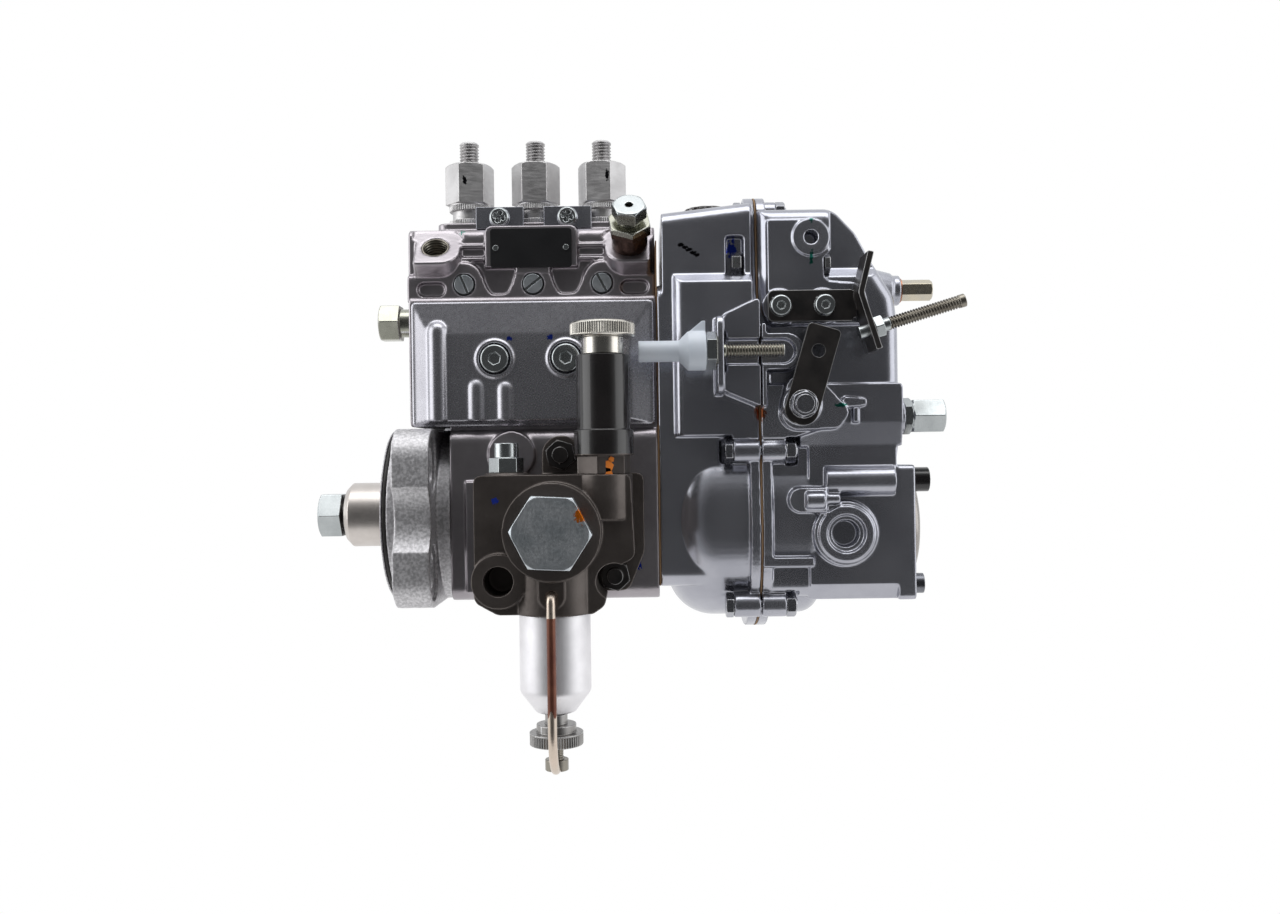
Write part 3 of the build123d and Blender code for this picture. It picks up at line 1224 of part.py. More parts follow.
def control_lever():
    """Outside lever, its nut and the shaft with the inner arm."""
    back = control_face_y + control_thickness
    half = control_width / 2
    outline = [(-half, -control_foot), (half, -control_foot), (half, control_top), (-half, control_top)]
    flat = front_plate(outline, [6.5, 6.5, 2, 2], control_face_y, back)
    flat -= rod(2.9, (0, control_face_y - 1, control_hole_distance), (0, back + 1, control_hole_distance))
    flat -= rod(control_shaft_r - 1, (0, control_face_y - 1, 0), (0, back + 1, 0))
    place = Pos(control_x, 0, control_z) * Rot(0, control_tilt, 0)
    nodes["control_lever"] = place * flat
    shaft = rod(control_shaft_r, (0, back + 0.05, 0), (0, -30.5, 0))
    shaft += rod(control_shaft_r - 1.05, (0, back + 1, 0), (0, control_face_y - 6.5, 0))
    shaft += block(-5, 5, -31.5, -27, -6, 20)
    nodes["control_shaft"] = place * shaft
    nut = hexagon(10, (0, control_face_y - 0.05, 0), (0, control_face_y - 4.6, 0), 8, 0.8)
    nut += rod(6.2, (0, control_face_y - 0.05, 0), (0, control_face_y - 1.3, 0))
    nodes["control_nut"] = place * (nut - rod(control_shaft_r - 1, (0, control_face_y + 1, 0), (0, -70, 0)))


def stop_screws():
    """Full-speed screw with its lock nut and seal cap, bracket, and idle screw with its nut."""
    y, z = full_screw_y, full_screw_z
    full = rod(full_screw_r, (full_screw_left_x, y, z), (full_screw_tip_x, y, z))
    nut_right = full_lug_x - 0.05
    nut = hexagon(14.5, (nut_right, y, z), (nut_right - 4.6, y, z), 0, 0.8)
    nut -= rod(full_screw_r + pressed, (nut_right - 6, y, z), (nut_right + 1, y, z))
    cap_right = nut_right - 4.7
    cap = rod(4.6, (108.4, y, z), (cap_right, y, z))
    cap += cone(4.6, 8.5, (126, y, z), (130, y, z)) + rod(8.5, (130, y, z), (cap_right, y, z))
    wing = [(124, z + 3), (cap_right, z + 3), (cap_right, z + 13), (cap_right - 1.5, z + 13)]
    cap += front_plate(wing, 0.2, y - 1.0, y + 1.0)
    cap -= rod(3.2, (full_screw_left_x - 2, y, z), (cap_right + 1, y, z))
    nodes["screw_seal_cap"] = cap

    lean = math.radians(16.5)
    along = (math.cos(lean), math.sin(lean))
    foot = (208.1, 79.6)

    def point(distance, rise=0.0):
        """Point on the idle screw's line, measured from the bracket leg."""
        return (foot[0] + distance * along[0], idle_screw_y, foot[1] + distance * along[1] + rise)

    back = bracket_y
    strap = [(165.7, 84.6), (165.7, 98.4), (203, 98.4), (203, 84.6)]
    bracket = front_plate(strap, [2.5, 2.5, 1, 1], back - bracket_thickness, back)
    for x in (171.3, 190.7):
        bracket -= rod(2.5 + 0.2, (x, back - 4, 91.6), (x, back + 1, 91.6))
    t = bracket_thickness
    leg = [(207.6, 113.4), (203.2, 95.4), (210.8, 70.7), (210.8 + t, 71.4), (203.2 + t, 95.4), (207.6 + t, 112.8)]
    bracket += front_plate(leg, [0.5, 4, 0.5, 0.5, 4, 0.5], -64.5, -46.6)
    bracket += block(200, 204.5, back - bracket_thickness, back, 86, 98)
    bracket -= rod(idle_screw_r + pressed, point(-6), point(6))
    nodes["stop_bracket"] = bracket
    idle = rod(idle_screw_r, point(-4.0), point(idle_screw_length - 4.0))
    nodes["stop_screws"] = Compound(children=[full, idle])
    lock = hexagon(9, point(2.85), point(6.8), 30, 0.7) - rod(idle_screw_r + pressed, point(0), point(8))
    nodes["stop_screw_nuts"] = Compound(children=[nut, lock])
    screws = []
    for x in (171.3, 190.7):
        face = back - bracket_thickness
        head = rod(4.6, (x, face - 0.05, 91.6), (x, face - 2.8, 91.6))
        head = fillet(head.edges().filter_by(GeomType.CIRCLE).sort_by(Axis.Y)[0], 1.0)
        head += rod(2.5, (x, face - 1, 91.6), (x, -43, 91.6))
        screws.append(head - hexagon(3.4, (x, face - 3.2, 91.6), (x, face - 1.6, 91.6), 15))
    nodes["bracket_screws"] = Compound(children=screws)


def governor_caps():
    """Cap nuts on the back of the cover, the top cap and the plug."""
    damper = hexagon(8.6, (231.0, -20, 102), (245.5, -20, 102), 0, 1.0)
    damper += rod(4.3, (230.6, -20, 102), (245.5, -20, 102))
    damper += rod(4.9, (219, -20, 102), (230.7, -20, 102))
    nodes["damper_cap"] = damper
    full = hexagon(14.6, (233.2, -30, 43), (247.6, -30, 43), 30, 1.4)
    lock = hexagon(14.6, (229.05, -30, 43), (232.6, -30, 43), 0, 0.8)
    stud = rod(4.0, (221, -30, 43), (240, -30, 43))
    lock -= rod(4.0 + pressed, (228, -30, 43), (234, -30, 43))
    full -= rod(4.0 + pressed, (232, -30, 43), (240.1, -30, 43))
    nodes["full_load_cap"] = Compound(children=[full, lock, stud])
    low_z = top_cap_z + 0.05
    lid = rod(top_cap_r, (top_cap_x, top_cap_y, low_z), (top_cap_x, top_cap_y, low_z + top_cap_height))
    lid = chamfer(lid.edges().filter_by(GeomType.CIRCLE).sort_by(Axis.Z)[-1], 0.8)
    for n in range(top_cap_scallops):
        angle = math.radians(360 * n / top_cap_scallops)
        x = top_cap_x + (top_cap_r + 0.8) * math.cos(angle)
        y = top_cap_y + (top_cap_r + 0.8) * math.sin(angle)
        lid -= rod(1.9, (x, y, low_z - 1), (x, y, low_z + top_cap_height + 1))
    nodes["top_lid"] = lid


# ---------------------------------------------------------------- feed pump
def feed_pump():
    """Feed pump casting with its mounting flange, domed front, ports and bail lugs."""
    flange = [
        (38.5, -25), (38.5, feed_top_z), (110, feed_top_z), (110, -16), (103, -33), (90, -33), (84, -25),
    ]
    body = front_plate(flange, [4, 3, 3, 4, 5, 5, 3], feed_flange_y, feed_mount_y - 0.05)
    main = [
        (38.5, -20), (38.5, feed_top_z), (104.5, feed_top_z), (106, -16), (94, -22), (93.5, -36), (88, feed_bottom_z),
        (48, feed_bottom_z), (38, -34),
    ]
    main_front_y = -76.0
    body += front_plate(main, [3, 3, 3, 4, 5, 5, 3, 6, 5], main_front_y, -49.5)
    core = [(42, -14), (42, feed_top_z), (102, feed_top_z), (102, -14), (90, -22), (48, -22)]
    body += front_plate(core, [3, 3, 3, 3, 3, 3], -52, feed_flange_y + 2)
    body += rod(feed_dome_r, (feed_x, -60, feed_z), (feed_x, feed_dome_y, feed_z))
    body += rod(port_boss_r, (port_x, -60, port_z), (port_x, -80, port_z))
    body += rod(9.5, (port_x - 1, -50, port_z + 6), (port_x - 1, -74, port_z + 6))
    body += rod(bowl_r + 2.5, (bowl_x, bowl_y, feed_bottom_z), (bowl_x, bowl_y, -20))
    lug = rod(5.5, (bowl_x, bowl_y - bail_r + 4.2, bail_pivot_z), (bowl_x, bowl_y + bail_r - 4.2, bail_pivot_z))
    body += lug + block(bowl_x - 5.5, bowl_x + 5.5, bowl_y - bail_r + 4.2, bowl_y, bail_pivot_z, -18)
    body += rod(9.2, (outlet_x, outlet_y, 0), (outlet_x, outlet_y, feed_top_z + 1.0))
    body += rod(12.0, (primer_x, primer_y, 0), (primer_x, primer_y, feed_top_z))
    body -= rod(feed_bore_r, (feed_x, feed_dome_y - 1, feed_z), (feed_x, feed_flange_y - 4, feed_z))
    body -= rod(push_rod_r + running, (feed_x, feed_dome_y, feed_z), (feed_x, feed_mount_y + 1, feed_z))
    body -= rod(port_r, (port_x, -81, port_z), (port_x, -80 + port_depth, port_z))
    body -= rod(4.6 + pressed, (outlet_x, outlet_y, 8), (outlet_x, outlet_y, 30))
    body -= rod(6.0, (primer_x, primer_y, 2), (primer_x, primer_y, 30))
    body -= rod(bowl_r - 1, (bowl_x, bowl_y, feed_bottom_z - 1), (bowl_x, bowl_y, -28))
    for end in (-1, 1):
        tip = bowl_y + end * (bail_r - 4.2)
        body -= rod(bail_wire_r + 0.06, (bowl_x, tip + end, bail_pivot_z), (bowl_x, tip - end * 4.2, bail_pivot_z))
    ear_x, ear_z = feed_stud_places()[0]
    body += rod(8.6, (ear_x, feed_flange_y, ear_z), (ear_x, feed_mount_y - 0.05, ear_z))
    body += block(ear_x - 8.6, ear_x + 8.6, feed_flange_y, feed_mount_y - 0.05, feed_top_z - 4, ear_z)
    for x, z in feed_stud_places():
        body -= rod(3.7, (x, feed_flange_y - 40, z), (x, feed_mount_y + 1, z))
        body -= rod(7.6, (x, -90, z), (x, feed_flange_y, z))
    nodes["feed_pump_body"] = body


def feed_pump_pieces():
    """Plug, piston with push rod, spring, studs with nuts, outlet fitting."""
    plug = hexagon(feed_plug_af, (feed_x, feed_dome_y - 0.05, feed_z), (feed_x, feed_plug_y, feed_z), 0, 1.4)
    plug += rod(feed_bore_r - pressed, (feed_x, feed_dome_y - 1, feed_z), (feed_x, -78, feed_z))
    plug -= rod(6.0, (feed_x, -84, feed_z), (feed_x, -77, feed_z))
    nodes["feed_pump_plug"] = plug
    push_tip = -(eccentric_r + eccentric_throw) - passing
    piston_front = -66.0
    piston_back = piston_front + feed_piston_length
    piston = rod(feed_bore_r - running, (feed_x, piston_front, feed_z), (feed_x, piston_back, feed_z))
    piston += rod(push_rod_r, (feed_x, piston_back - 1, feed_z), (feed_x, push_tip, feed_z))
    recess_end = piston_front + spring_seat_depth + feed_stroke + passing
    piston -= rod(6.5, (feed_x, piston_front - 1, feed_z), (feed_x, recess_end, feed_z))
    nodes["feed_piston"] = piston
    spring = tube(6.0, 4.6, (feed_x, -77.9, feed_z), (feed_x, piston_front + spring_seat_depth, feed_z))
    nodes["feed_spring"] = spring - rod(6.1, (feed_x, -84, feed_z), (feed_x, -83.9, feed_z))
    fasteners = []
    for x, z in feed_stud_places():
        seat = feed_flange_y - 0.05
        stud = rod(3.5, (x, feed_flange_y - 8, z), (x, feed_mount_y + 7, z))
        nut = hexagon(12, (x, seat, z), (x, seat - 5.5, z), 12, 0.9)
        fasteners += [stud, nut - rod(3.5 + pressed, (x, seat - 7, z), (x, seat + 1, z))]
    nodes["feed_pump_nuts"] = Compound(children=fasteners)
    low = feed_top_z + 1.05
    fitting = rod(4.6, (outlet_x, outlet_y, 9), (outlet_x, outlet_y, low + 1))
    fitting += hexagon(outlet_af, (outlet_x, outlet_y, low), (outlet_x, outlet_y, 26.4), 12)
    fitting += rod(outlet_r, (outlet_x, outlet_y, 26), (outlet_x, outlet_y, 32.7))
    nodes["outlet_fitting"] = fitting - rod(2.2, (outlet_x, outlet_y, 8), (outlet_x, outlet_y, 34))


def hand_primer():
    """Primer barrel on its hexagon base, and the knob with its rod and piston."""
    x, y = primer_x, primer_y
    base_z = feed_top_z + 0.05
    barrel = hexagon(primer_base_af, (x, y, base_z), (x, y, primer_base_top_z), 18)
    barrel += rod(primer_collar_r, (x, y, primer_base_top_z - 1), (x, y, primer_collar_top_z))
    barrel += rod(primer_barrel_r, (x, y, primer_collar_top_z - 1), (x, y, primer_barrel_top_z))
    barrel += rod(6.0 - pressed, (x, y, 8), (x, y, base_z + 1))
    barrel -= rod(primer_bore_r, (x, y, 30), (x, y, primer_barrel_top_z - 4))
    barrel -= rod(primer_rod_r + running, (x, y, 40), (x, y, primer_barrel_top_z + 1))
    barrel -= rod(2.0, (x, y, 7), (x, y, 32))
    nodes["primer_barrel"] = barrel
    knob = rod(primer_neck_r, (x, y, primer_barrel_top_z + 0.3), (x, y, primer_knob_z + 1))
    head = rod(primer_knob_r, (x, y, primer_knob_z), (x, y, primer_knob_top_z))
    knob += chamfer(head.edges().filter_by(GeomType.CIRCLE), 0.8)
    knob += rod(primer_rod_r, (x, y, 34), (x, y, primer_knob_z))
    knob += rod(primer_bore_r - 0.05, (x, y, 31), (x, y, 38))
    nodes["primer_knob"] = knob


def strainer_bowl():
    """Bowl with a rounded foot that ends in a small seat, and the strainer inside."""
    x, y = bowl_x, bowl_y
    top_z = feed_bottom_z - 0.05
    seat_z = bowl_bottom_z
    points = [(0, top_z), (bowl_r, top_z), (bowl_r, bowl_straight_z), (8.5, seat_z + 0.9), (4.8, seat_z), (0, seat_z)]
    profile = make_face(FilletPolyline(*[(p[0], p[1]) for p in points], radius=[0, 0, 4, 1.2, 0, 0], close=True))
    solid = revolve(Plane.XZ * profile, Axis.Z)
    hollow = rod(bowl_r - bowl_wall, (0, 0, bowl_straight_z + 2), (0, 0, top_z + 1))
    nodes["strainer_bowl"] = Pos(x, y, 0) * (solid - hollow)
    gauze = tube(8.0, 7.2, (x, y, -66), (x, y, -31))
    gauze += rod(8.0, (x, y, -67), (x, y, -66)) + tube(bowl_r - 1.2, 7.5, (x, y, -31.1), (x, y, -28.1))
    nodes["strainer"] = gauze


def bail():
    """Wire bail hooked into the body, and the clamp stud that stands on it."""
    x, y = bowl_x, bowl_y
    low = bail_arc_z
    hook = bail_hook
    path = FilletPolyline(
        (x, y - bail_r + hook + 0.6, bail_pivot_z), (x, y - bail_r, bail_pivot_z), (x, y - bail_r, low - bail_r),
        (x, y + bail_r, low - bail_r), (x, y + bail_r, bail_pivot_z), (x, y + bail_r - hook - 0.6, bail_pivot_z),
        radius=[2.2, bail_r - 0.2, bail_r - 0.2, 2.2],
    )
    start = Plane(origin=path @ 0, z_dir=path % 0)
    wire = sweep(start * Circle(bail_wire_r), path=path)
    nodes["bail"] = wire
    foot_z = low - bail_r + bail_wire_r
    stud = rod(clamp_stud_r, (x, y, foot_z + 0.5), (x, y, clamp_bore_top_z - clamp_travel - passing))
    foot = rod(5.0, (x, y, foot_z - 2.4), (x, y, foot_z + 2.2))
    foot -= rod(bail_wire_r + 0.05, (x, y - 8, low - bail_r), (x, y + 8, low - bail_r))
    foot -= block(x - bail_wire_r - 0.05, x + bail_wire_r + 0.05, y - 8, y + 8, foot_z - 5, low - bail_r)
    nodes["clamp_stud"] = stud + foot
    top_z = bowl_bottom_z - passing
    nut = rod(clamp_button_r, (x, y, top_z), (x, y, top_z - 5))
    nut += rod(clamp_collar_r, (x, y, top_z - 4.2), (x, y, clamp_disc_z))
    nut += rod(clamp_disc_r, (x, y, clamp_disc_z + 0.8), (x, y, clamp_bottom_z))
    nut -= rod(clamp_stud_r + running, (x, y, clamp_bottom_z - 1), (x, y, clamp_bore_top_z))
    nodes["clamp_nut"] = nut


# ---------------------------------------------------------------- the whole pump
nodes["camshaft"] = camshaft()
shaft_end_pieces()
bearing_rings()
drive_flange()
rubber_seals()
pump_housing()
for index, element_x in enumerate(cylinder_xs):
    pumping_element(index + 1, element_x)
control_rack()
barrels()
head_pieces()
side_cover()
rack_cap()
base_plugs()
governor_housing()
governor_gaskets()
governor_cover()
rear_plate()
joint_bolts()
flyweights()
governor_sleeve()
guide_lever()
control_lever()
stop_screws()
governor_caps()
feed_pump()
feed_pump_pieces()
hand_primer()
strainer_bowl()
bail()

# Small pieces that never move against each other share one file
shared = {
    "lock_plates": ["lock_plates", "lock_screws"],
    "name_plate": ["name_plate", "plate_rivets"],
    "rubber_seals": ["pilot_o_ring", "shaft_seal"],
    "gaskets": ["housing_gasket", "cover_gasket"],
    "delivery_valves": ["delivery_valves", "delivery_springs"],
    "pump_barrels": ["pump_barrels", "spring_plates"],
    "stop_screws": ["stop_screws", "stop_screw_nuts"],
    "stop_bracket": ["stop_bracket", "bracket_screws"],
    "cap_nuts": ["damper_cap", "full_load_cap"],
    "feed_pump_plug": ["feed_pump_plug", "feed_spring"],
    "control_shaft": ["control_shaft", "control_nut"],
    "cover_screws": ["side_cover_screws", "rear_plate_screws"],
    "shaft_nut": ["shaft_nut", "shaft_washer"],
    "housing_plugs": ["rack_end_cap", "base_plugs"],
    "feed_pump_fittings": ["feed_pump_nuts", "outlet_fitting"],
}
for name, members in shared.items():
    solids = [solid for member in members for solid in nodes.pop(member).solids()]
    nodes[name] = Compound(children=solids)

os.makedirs("parts", exist_ok=True)
for name, shape in nodes.items():
    export_step(shape, f"parts/{name}.step")
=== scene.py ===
"""Looks of an in-line diesel injection pump: finishes, cast skins, threads, knurls and small trim.

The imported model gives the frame. Each sub-assembly below is a class that builds the pieces that stand for its
nodes or that lie on them, and each finish is a small frozen class that makes one procedural material.
"""

import json
import logging
import math
from dataclasses import dataclass
from enum import Enum
from typing import Optional, Protocol, Sequence

import bmesh
import bpy
import numpy as np
from mathutils import Matrix, Vector

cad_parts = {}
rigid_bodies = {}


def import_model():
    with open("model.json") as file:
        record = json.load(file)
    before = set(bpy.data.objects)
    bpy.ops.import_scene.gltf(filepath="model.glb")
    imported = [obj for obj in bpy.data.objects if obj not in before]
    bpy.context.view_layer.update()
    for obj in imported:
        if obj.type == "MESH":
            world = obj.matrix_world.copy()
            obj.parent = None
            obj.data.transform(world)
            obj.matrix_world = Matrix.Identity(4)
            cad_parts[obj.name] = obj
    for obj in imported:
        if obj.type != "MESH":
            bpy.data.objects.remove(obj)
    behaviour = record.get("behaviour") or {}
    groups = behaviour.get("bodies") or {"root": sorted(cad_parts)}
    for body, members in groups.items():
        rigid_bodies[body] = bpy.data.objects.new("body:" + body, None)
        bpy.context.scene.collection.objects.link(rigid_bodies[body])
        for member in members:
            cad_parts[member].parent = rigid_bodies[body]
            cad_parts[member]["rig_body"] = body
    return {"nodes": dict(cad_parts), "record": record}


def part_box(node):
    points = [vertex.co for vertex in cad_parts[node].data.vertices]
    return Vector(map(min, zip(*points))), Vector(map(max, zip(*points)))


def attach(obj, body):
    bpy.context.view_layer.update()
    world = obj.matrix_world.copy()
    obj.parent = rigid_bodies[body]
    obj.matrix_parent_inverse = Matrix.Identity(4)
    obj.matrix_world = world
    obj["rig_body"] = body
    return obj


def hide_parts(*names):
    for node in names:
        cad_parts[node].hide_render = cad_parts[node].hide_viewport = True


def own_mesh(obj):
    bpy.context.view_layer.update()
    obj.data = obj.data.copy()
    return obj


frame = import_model()

logging.basicConfig(level=logging.INFO, format="%(message)s")
log = logging.getLogger("pump")

Colour = tuple[float, float, float]
Point = tuple[float, float, float]
Pair = tuple[float, float]
Points = np.ndarray
Socket = bpy.types.NodeSocket
Node = bpy.types.Node
Obj = bpy.types.Object
Material = bpy.types.Material
BMesh = bmesh.types.BMesh

MM = 0.001
WELD_MM = 0.002
SKIN_PLAY_MM = 0.4
FULL_TURN = 2 * math.pi
FAR = math.inf
RIGHT = (1.0, 0.0, 0.0)
FRONT = (0.0, -1.0, 0.0)
UP = (0.0, 0.0, 1.0)
WHITE = (1.0, 1.0, 1.0)


# ---- shader building
@dataclass(frozen=True)
class Dab:
    """A dab of paint, ink or rust on a surface, at a place in millimetres."""

    place: Point
    reach: Point
    colour: Colour
    ragged: float = 0.45


class Graph:
    """A material's or a world's node tree with short ways to add nodes."""

    # Places of the colours among the mix node's sockets.
    first_colour, second_colour, mixed_colour = 6, 7, 2

    def __init__(self, owner: bpy.types.ID) -> None:
        """Starts an empty tree.

        Args:
            owner: The material or world.
        """
        self.owner = owner
        owner.use_nodes = True
        self.nodes = owner.node_tree.nodes
        self.links = owner.node_tree.links
        self.nodes.clear()

    def add(self, kind: str, feeds: Optional[dict[object, object]] = None, **settings: object) -> Node:
        """Adds a node.

        Args:
            kind: The node's type.
            feeds: What goes into its inputs: outputs, numbers, vectors or colours.
            **settings: Its properties.

        Returns:
            The node.
        """
        node = self.nodes.new(kind)
        for key, value in settings.items():
            setattr(node, key, value)
        for key, item in (feeds or {}).items():
            socket = node.inputs[key]
            if isinstance(item, Socket):
                self.links.new(item, socket)
            else:
                socket.default_value = (*item, 1.0) if socket.type == "RGBA" else item
        return node

    def object_place(self, scale: Point = (1.0, 1.0, 1.0), shift: Point = (0.0, 0.0, 0.0)) -> Socket:
        """Gives coordinates that are fixed to the piece, stretched and then shifted."""
        place = self.add("ShaderNodeTexCoord").outputs["Object"]
        return self.add("ShaderNodeMapping", {"Vector": place, "Scale": scale, "Location": shift}).outputs[0]

    def noise(self, scale: float, detail: float, stretch: Point = (1.0, 1.0, 1.0)) -> Socket:
        """Adds a noise fixed to the piece, from its waves per metre and its number of finer layers."""
        feeds = {"Vector": self.object_place(stretch), "Scale": scale, "Detail": detail}
        return self.add("ShaderNodeTexNoise", feeds).outputs["Fac"]

    def spread(self, value: Socket, taken: Pair, given: Pair, smooth: bool = False) -> Socket:
        """Maps a value from one range to another, and holds it at the ends.

        Args:
            value: The value.
            taken: Start and end of the range that comes in.
            given: Start and end of the range that goes out.
            smooth: Whether the ends are eased.

        Returns:
            The mapped value.
        """
        numbers = dict(zip(("From Min", "From Max", "To Min", "To Max"), (*taken, *given)))
        style = "SMOOTHSTEP" if smooth else "LINEAR"
        node = self.add("ShaderNodeMapRange", {"Value": value, **numbers}, interpolation_type=style)
        return node.outputs["Result"]

    def blend(self, factor: Socket, first: object, second: object) -> Socket:
        """Mixes two colours, each of them a colour or an output."""
        feeds = {"Factor": factor, self.first_colour: first, self.second_colour: second}
        return self.add("ShaderNodeMix", feeds, data_type="RGBA").outputs[self.mixed_colour]

    def combine(self, kind: str, first: Socket, second: Socket) -> Socket:
        """Works out one value from two, by an operation such as "MULTIPLY"."""
        return self.add("ShaderNodeMath", {0: first, 1: second}, operation=kind).outputs["Value"]

    def choose(self, factor: Socket, first: Node, second: Node, end: str) -> None:
        """Ends the tree with a mix of two shaders that goes into an output node of a type."""
        mix = self.add("ShaderNodeMixShader", {"Fac": factor, 1: first.outputs[0], 2: second.outputs[0]})
        self.add(end, {"Surface": mix.outputs[0]})

    def daub(self, tone: Socket, dabs: Sequence[Dab]) -> Socket:
        """Lays dabs of paint over a colour.

        Args:
            tone: The colour.
            dabs: The dabs.

        Returns:
            The outcome.
        """
        for dab in dabs:
            scale = tuple(1.0 / (reach * MM) for reach in dab.reach)
            shift = tuple(-place / reach for place, reach in zip(dab.place, dab.reach))
            place = self.object_place(scale, shift)
            length = self.add("ShaderNodeVectorMath", {0: place}, operation="LENGTH")
            uneven = self.spread(self.noise(900.0, 4.0), (0.3, 0.7), (-dab.ragged, dab.ragged))
            rim = self.combine("ADD", length.outputs["Value"], uneven)
            tone = self.blend(self.spread(rim, (0.85, 1.0), (1.0, 0.0)), tone, dab.colour)
        return tone

    def surface(self, colour: Socket, metallic: float, roughness: Socket, relief: Socket,
                depth_mm: Optional[float], coat: float = 0.0) -> Material:
        """Ends the tree with one surface.

        Args:
            colour: The colour.
            metallic: 0 for plastic and paint, 1 for bare metal.
            roughness: The roughness.
            relief: Height of the grain, from 0 to 1.
            depth_mm: Millimetres that 1 stands for, or None if smooth.
            coat: Weight of a clear coat.

        Returns:
            The material.
        """
        feeds = {"Base Color": colour, "Metallic": metallic, "Roughness": roughness, "Coat Weight": coat,
                 "Coat Roughness": 0.12}
        if depth_mm is not None:
            bump = self.add("ShaderNodeBump", {"Distance": depth_mm * MM, "Height": relief})
            feeds["Normal"] = bump.outputs["Normal"]
        shader = self.add("ShaderNodeBsdfPrincipled", feeds)
        self.add("ShaderNodeOutputMaterial", {"Surface": shader.outputs["BSDF"]})
        return self.owner


@dataclass(frozen=True)
class Surface:
    """What every surface has: a name and a tone that drifts between two colours."""

    name: str
    colour: Colour
    cloud: Colour

    def start(self, noise: Pair, taken: Pair, smooth: bool = False) -> tuple[Graph, Socket]:
        """Starts the tree and its tone, from a noise's scale and detail and the stretch of it that counts."""
        g = Graph(bpy.data.materials.new(self.name))
        return g, g.blend(g.spread(g.noise(*noise), taken, (0.0, 1.0), smooth), self.colour, self.cloud)

    def make(self) -> Material:
        """Makes the material."""


@dataclass(frozen=True)
class CastSkin(Surface):
    """Skin of a casting: a fine grain, cloudy tone, painted highlights on its edges, painted shade in its
    hollows and dabs of paint.
    """

    # Pale colour of the painted highlight on convex edges.
    edge_highlight: Colour
    # Near-black colour of the painted shade in hollows, also used for the real dark pits of the grain.
    shade_and_pit_colour: Colour = (0.02, 0.02, 0.025)
    roughness: float = 0.30
    grain: float = 0.006
    grain_scale: float = 900.0
    speckle: float = 0.0
    metallic: float = 0.9
    dabs: tuple[Dab, ...] = ()

    def make(self) -> Material:
        """Makes the material.

        Returns:
            The material.
        """
        g, tone = self.start((38.0, 4.0), (0.35, 0.68), smooth=True)
        shape = g.add("ShaderNodeNewGeometry").outputs["Pointiness"]
        # Painted shade: where the surface is hollow (low pointiness) the tone darkens toward a near-black
        # colour.
        painted_shade_mask = g.spread(shape, (0.40, 0.47), (0.75, 0.0), smooth=True)
        tone = g.blend(painted_shade_mask, tone, self.shade_and_pit_colour)
        # Painted highlight: convex edges (high pointiness) lighten, in patches, toward a pale colour.
        highlight_mask = g.spread(shape, (0.56, 0.66), (0.0, 1.0), smooth=True)
        patchy = g.spread(g.noise(160.0, 3.0), (0.3, 0.6), (0.35, 0.9))
        tone = g.blend(g.combine("MULTIPLY", highlight_mask, patchy), tone, self.edge_highlight)
        speck = g.noise(self.grain_scale, 4.0)
        # The same near-black colour marks dark pits in the grain, which are real.
        if self.speckle > 0:
            pits = g.spread(speck, (0.40, 0.62), (self.speckle, 0.0))
            tone = g.blend(pits, tone, self.shade_and_pit_colour)
        tone = g.daub(tone, self.dabs)
        dull = g.spread(speck, (0.3, 0.7), (self.roughness - 0.02, self.roughness + 0.05))
        return g.surface(tone, self.metallic, dull, speck, self.grain)


@dataclass(frozen=True)
class Metal(Surface):
    """Machined or plated metal, with a slight unevenness, painted shade in its hollows and, if asked, a drawn
    grain and painted highlights on its edges.
    """

    roughness: float = 0.25
    spread: float = 0.03
    grain: Optional[float] = None
    stretch: Point = (1.0, 1.0, 1.0)
    metallic: float = 1.0
    # Strength of the painted shade in hollows.
    hollow_shade: float = 0.6
    # Grey of the painted highlight on convex edges; 0 for none.
    edge_highlight: float = 0.0
    dabs: tuple[Dab, ...] = ()

    def make(self) -> Material:
        """Makes the material.

        Returns:
            The material.
        """
        g, tone = self.start((120.0, 3.0), (0.35, 0.65))
        shape = g.add("ShaderNodeNewGeometry").outputs["Pointiness"]
        # Painted shade: hollows (low pointiness) darken toward a dark copy of the colour.
        painted_shade_mask = g.spread(shape, (0.42, 0.49), (self.hollow_shade, 0.0), smooth=True)
        tone = g.blend(painted_shade_mask, tone, tuple(0.12 * v for v in self.colour))
        # Painted highlight: convex edges (high pointiness) lighten toward a pale grey.
        if self.edge_highlight > 0:
            highlight_mask = g.spread(shape, (0.52, 0.58), (0.0, 0.9), smooth=True)
            tone = g.blend(highlight_mask, tone, (self.edge_highlight,) * 3)
        tone = g.daub(tone, self.dabs)
        fine = g.noise(900.0, 2.0, self.stretch)
        dull = g.spread(fine, (0.3, 0.7), (self.roughness - self.spread, self.roughness + self.spread))
        return g.surface(tone, self.metallic, dull, fine, self.grain)


@dataclass(frozen=True)
class Plain(Surface):
    """Plastic, rubber, paint or paper."""

    roughness: float = 0.5
    grain: float = 0.012
    coat: float = 0.0

    def make(self) -> Material:
        """Makes the material.

        Returns:
            The material.
        """
        g, tone = self.start((90.0, 3.0), (0.3, 0.7))
        fine = g.noise(1400.0, 3.0)
        dull = g.spread(fine, (0.3, 0.7), (self.roughness - 0.05, self.roughness + 0.08))
        return g.surface(tone, 0.0, dull, fine, self.grain, self.coat)


BLACK_INK = (0.008, 0.008, 0.010)
BLUE_INK = (0.02, 0.05, 0.45)
GREEN_INK = (0.01, 0.16, 0.12)
ORANGE_PAINT = (0.85, 0.22, 0.02)
RUST = (0.30, 0.09, 0.03)


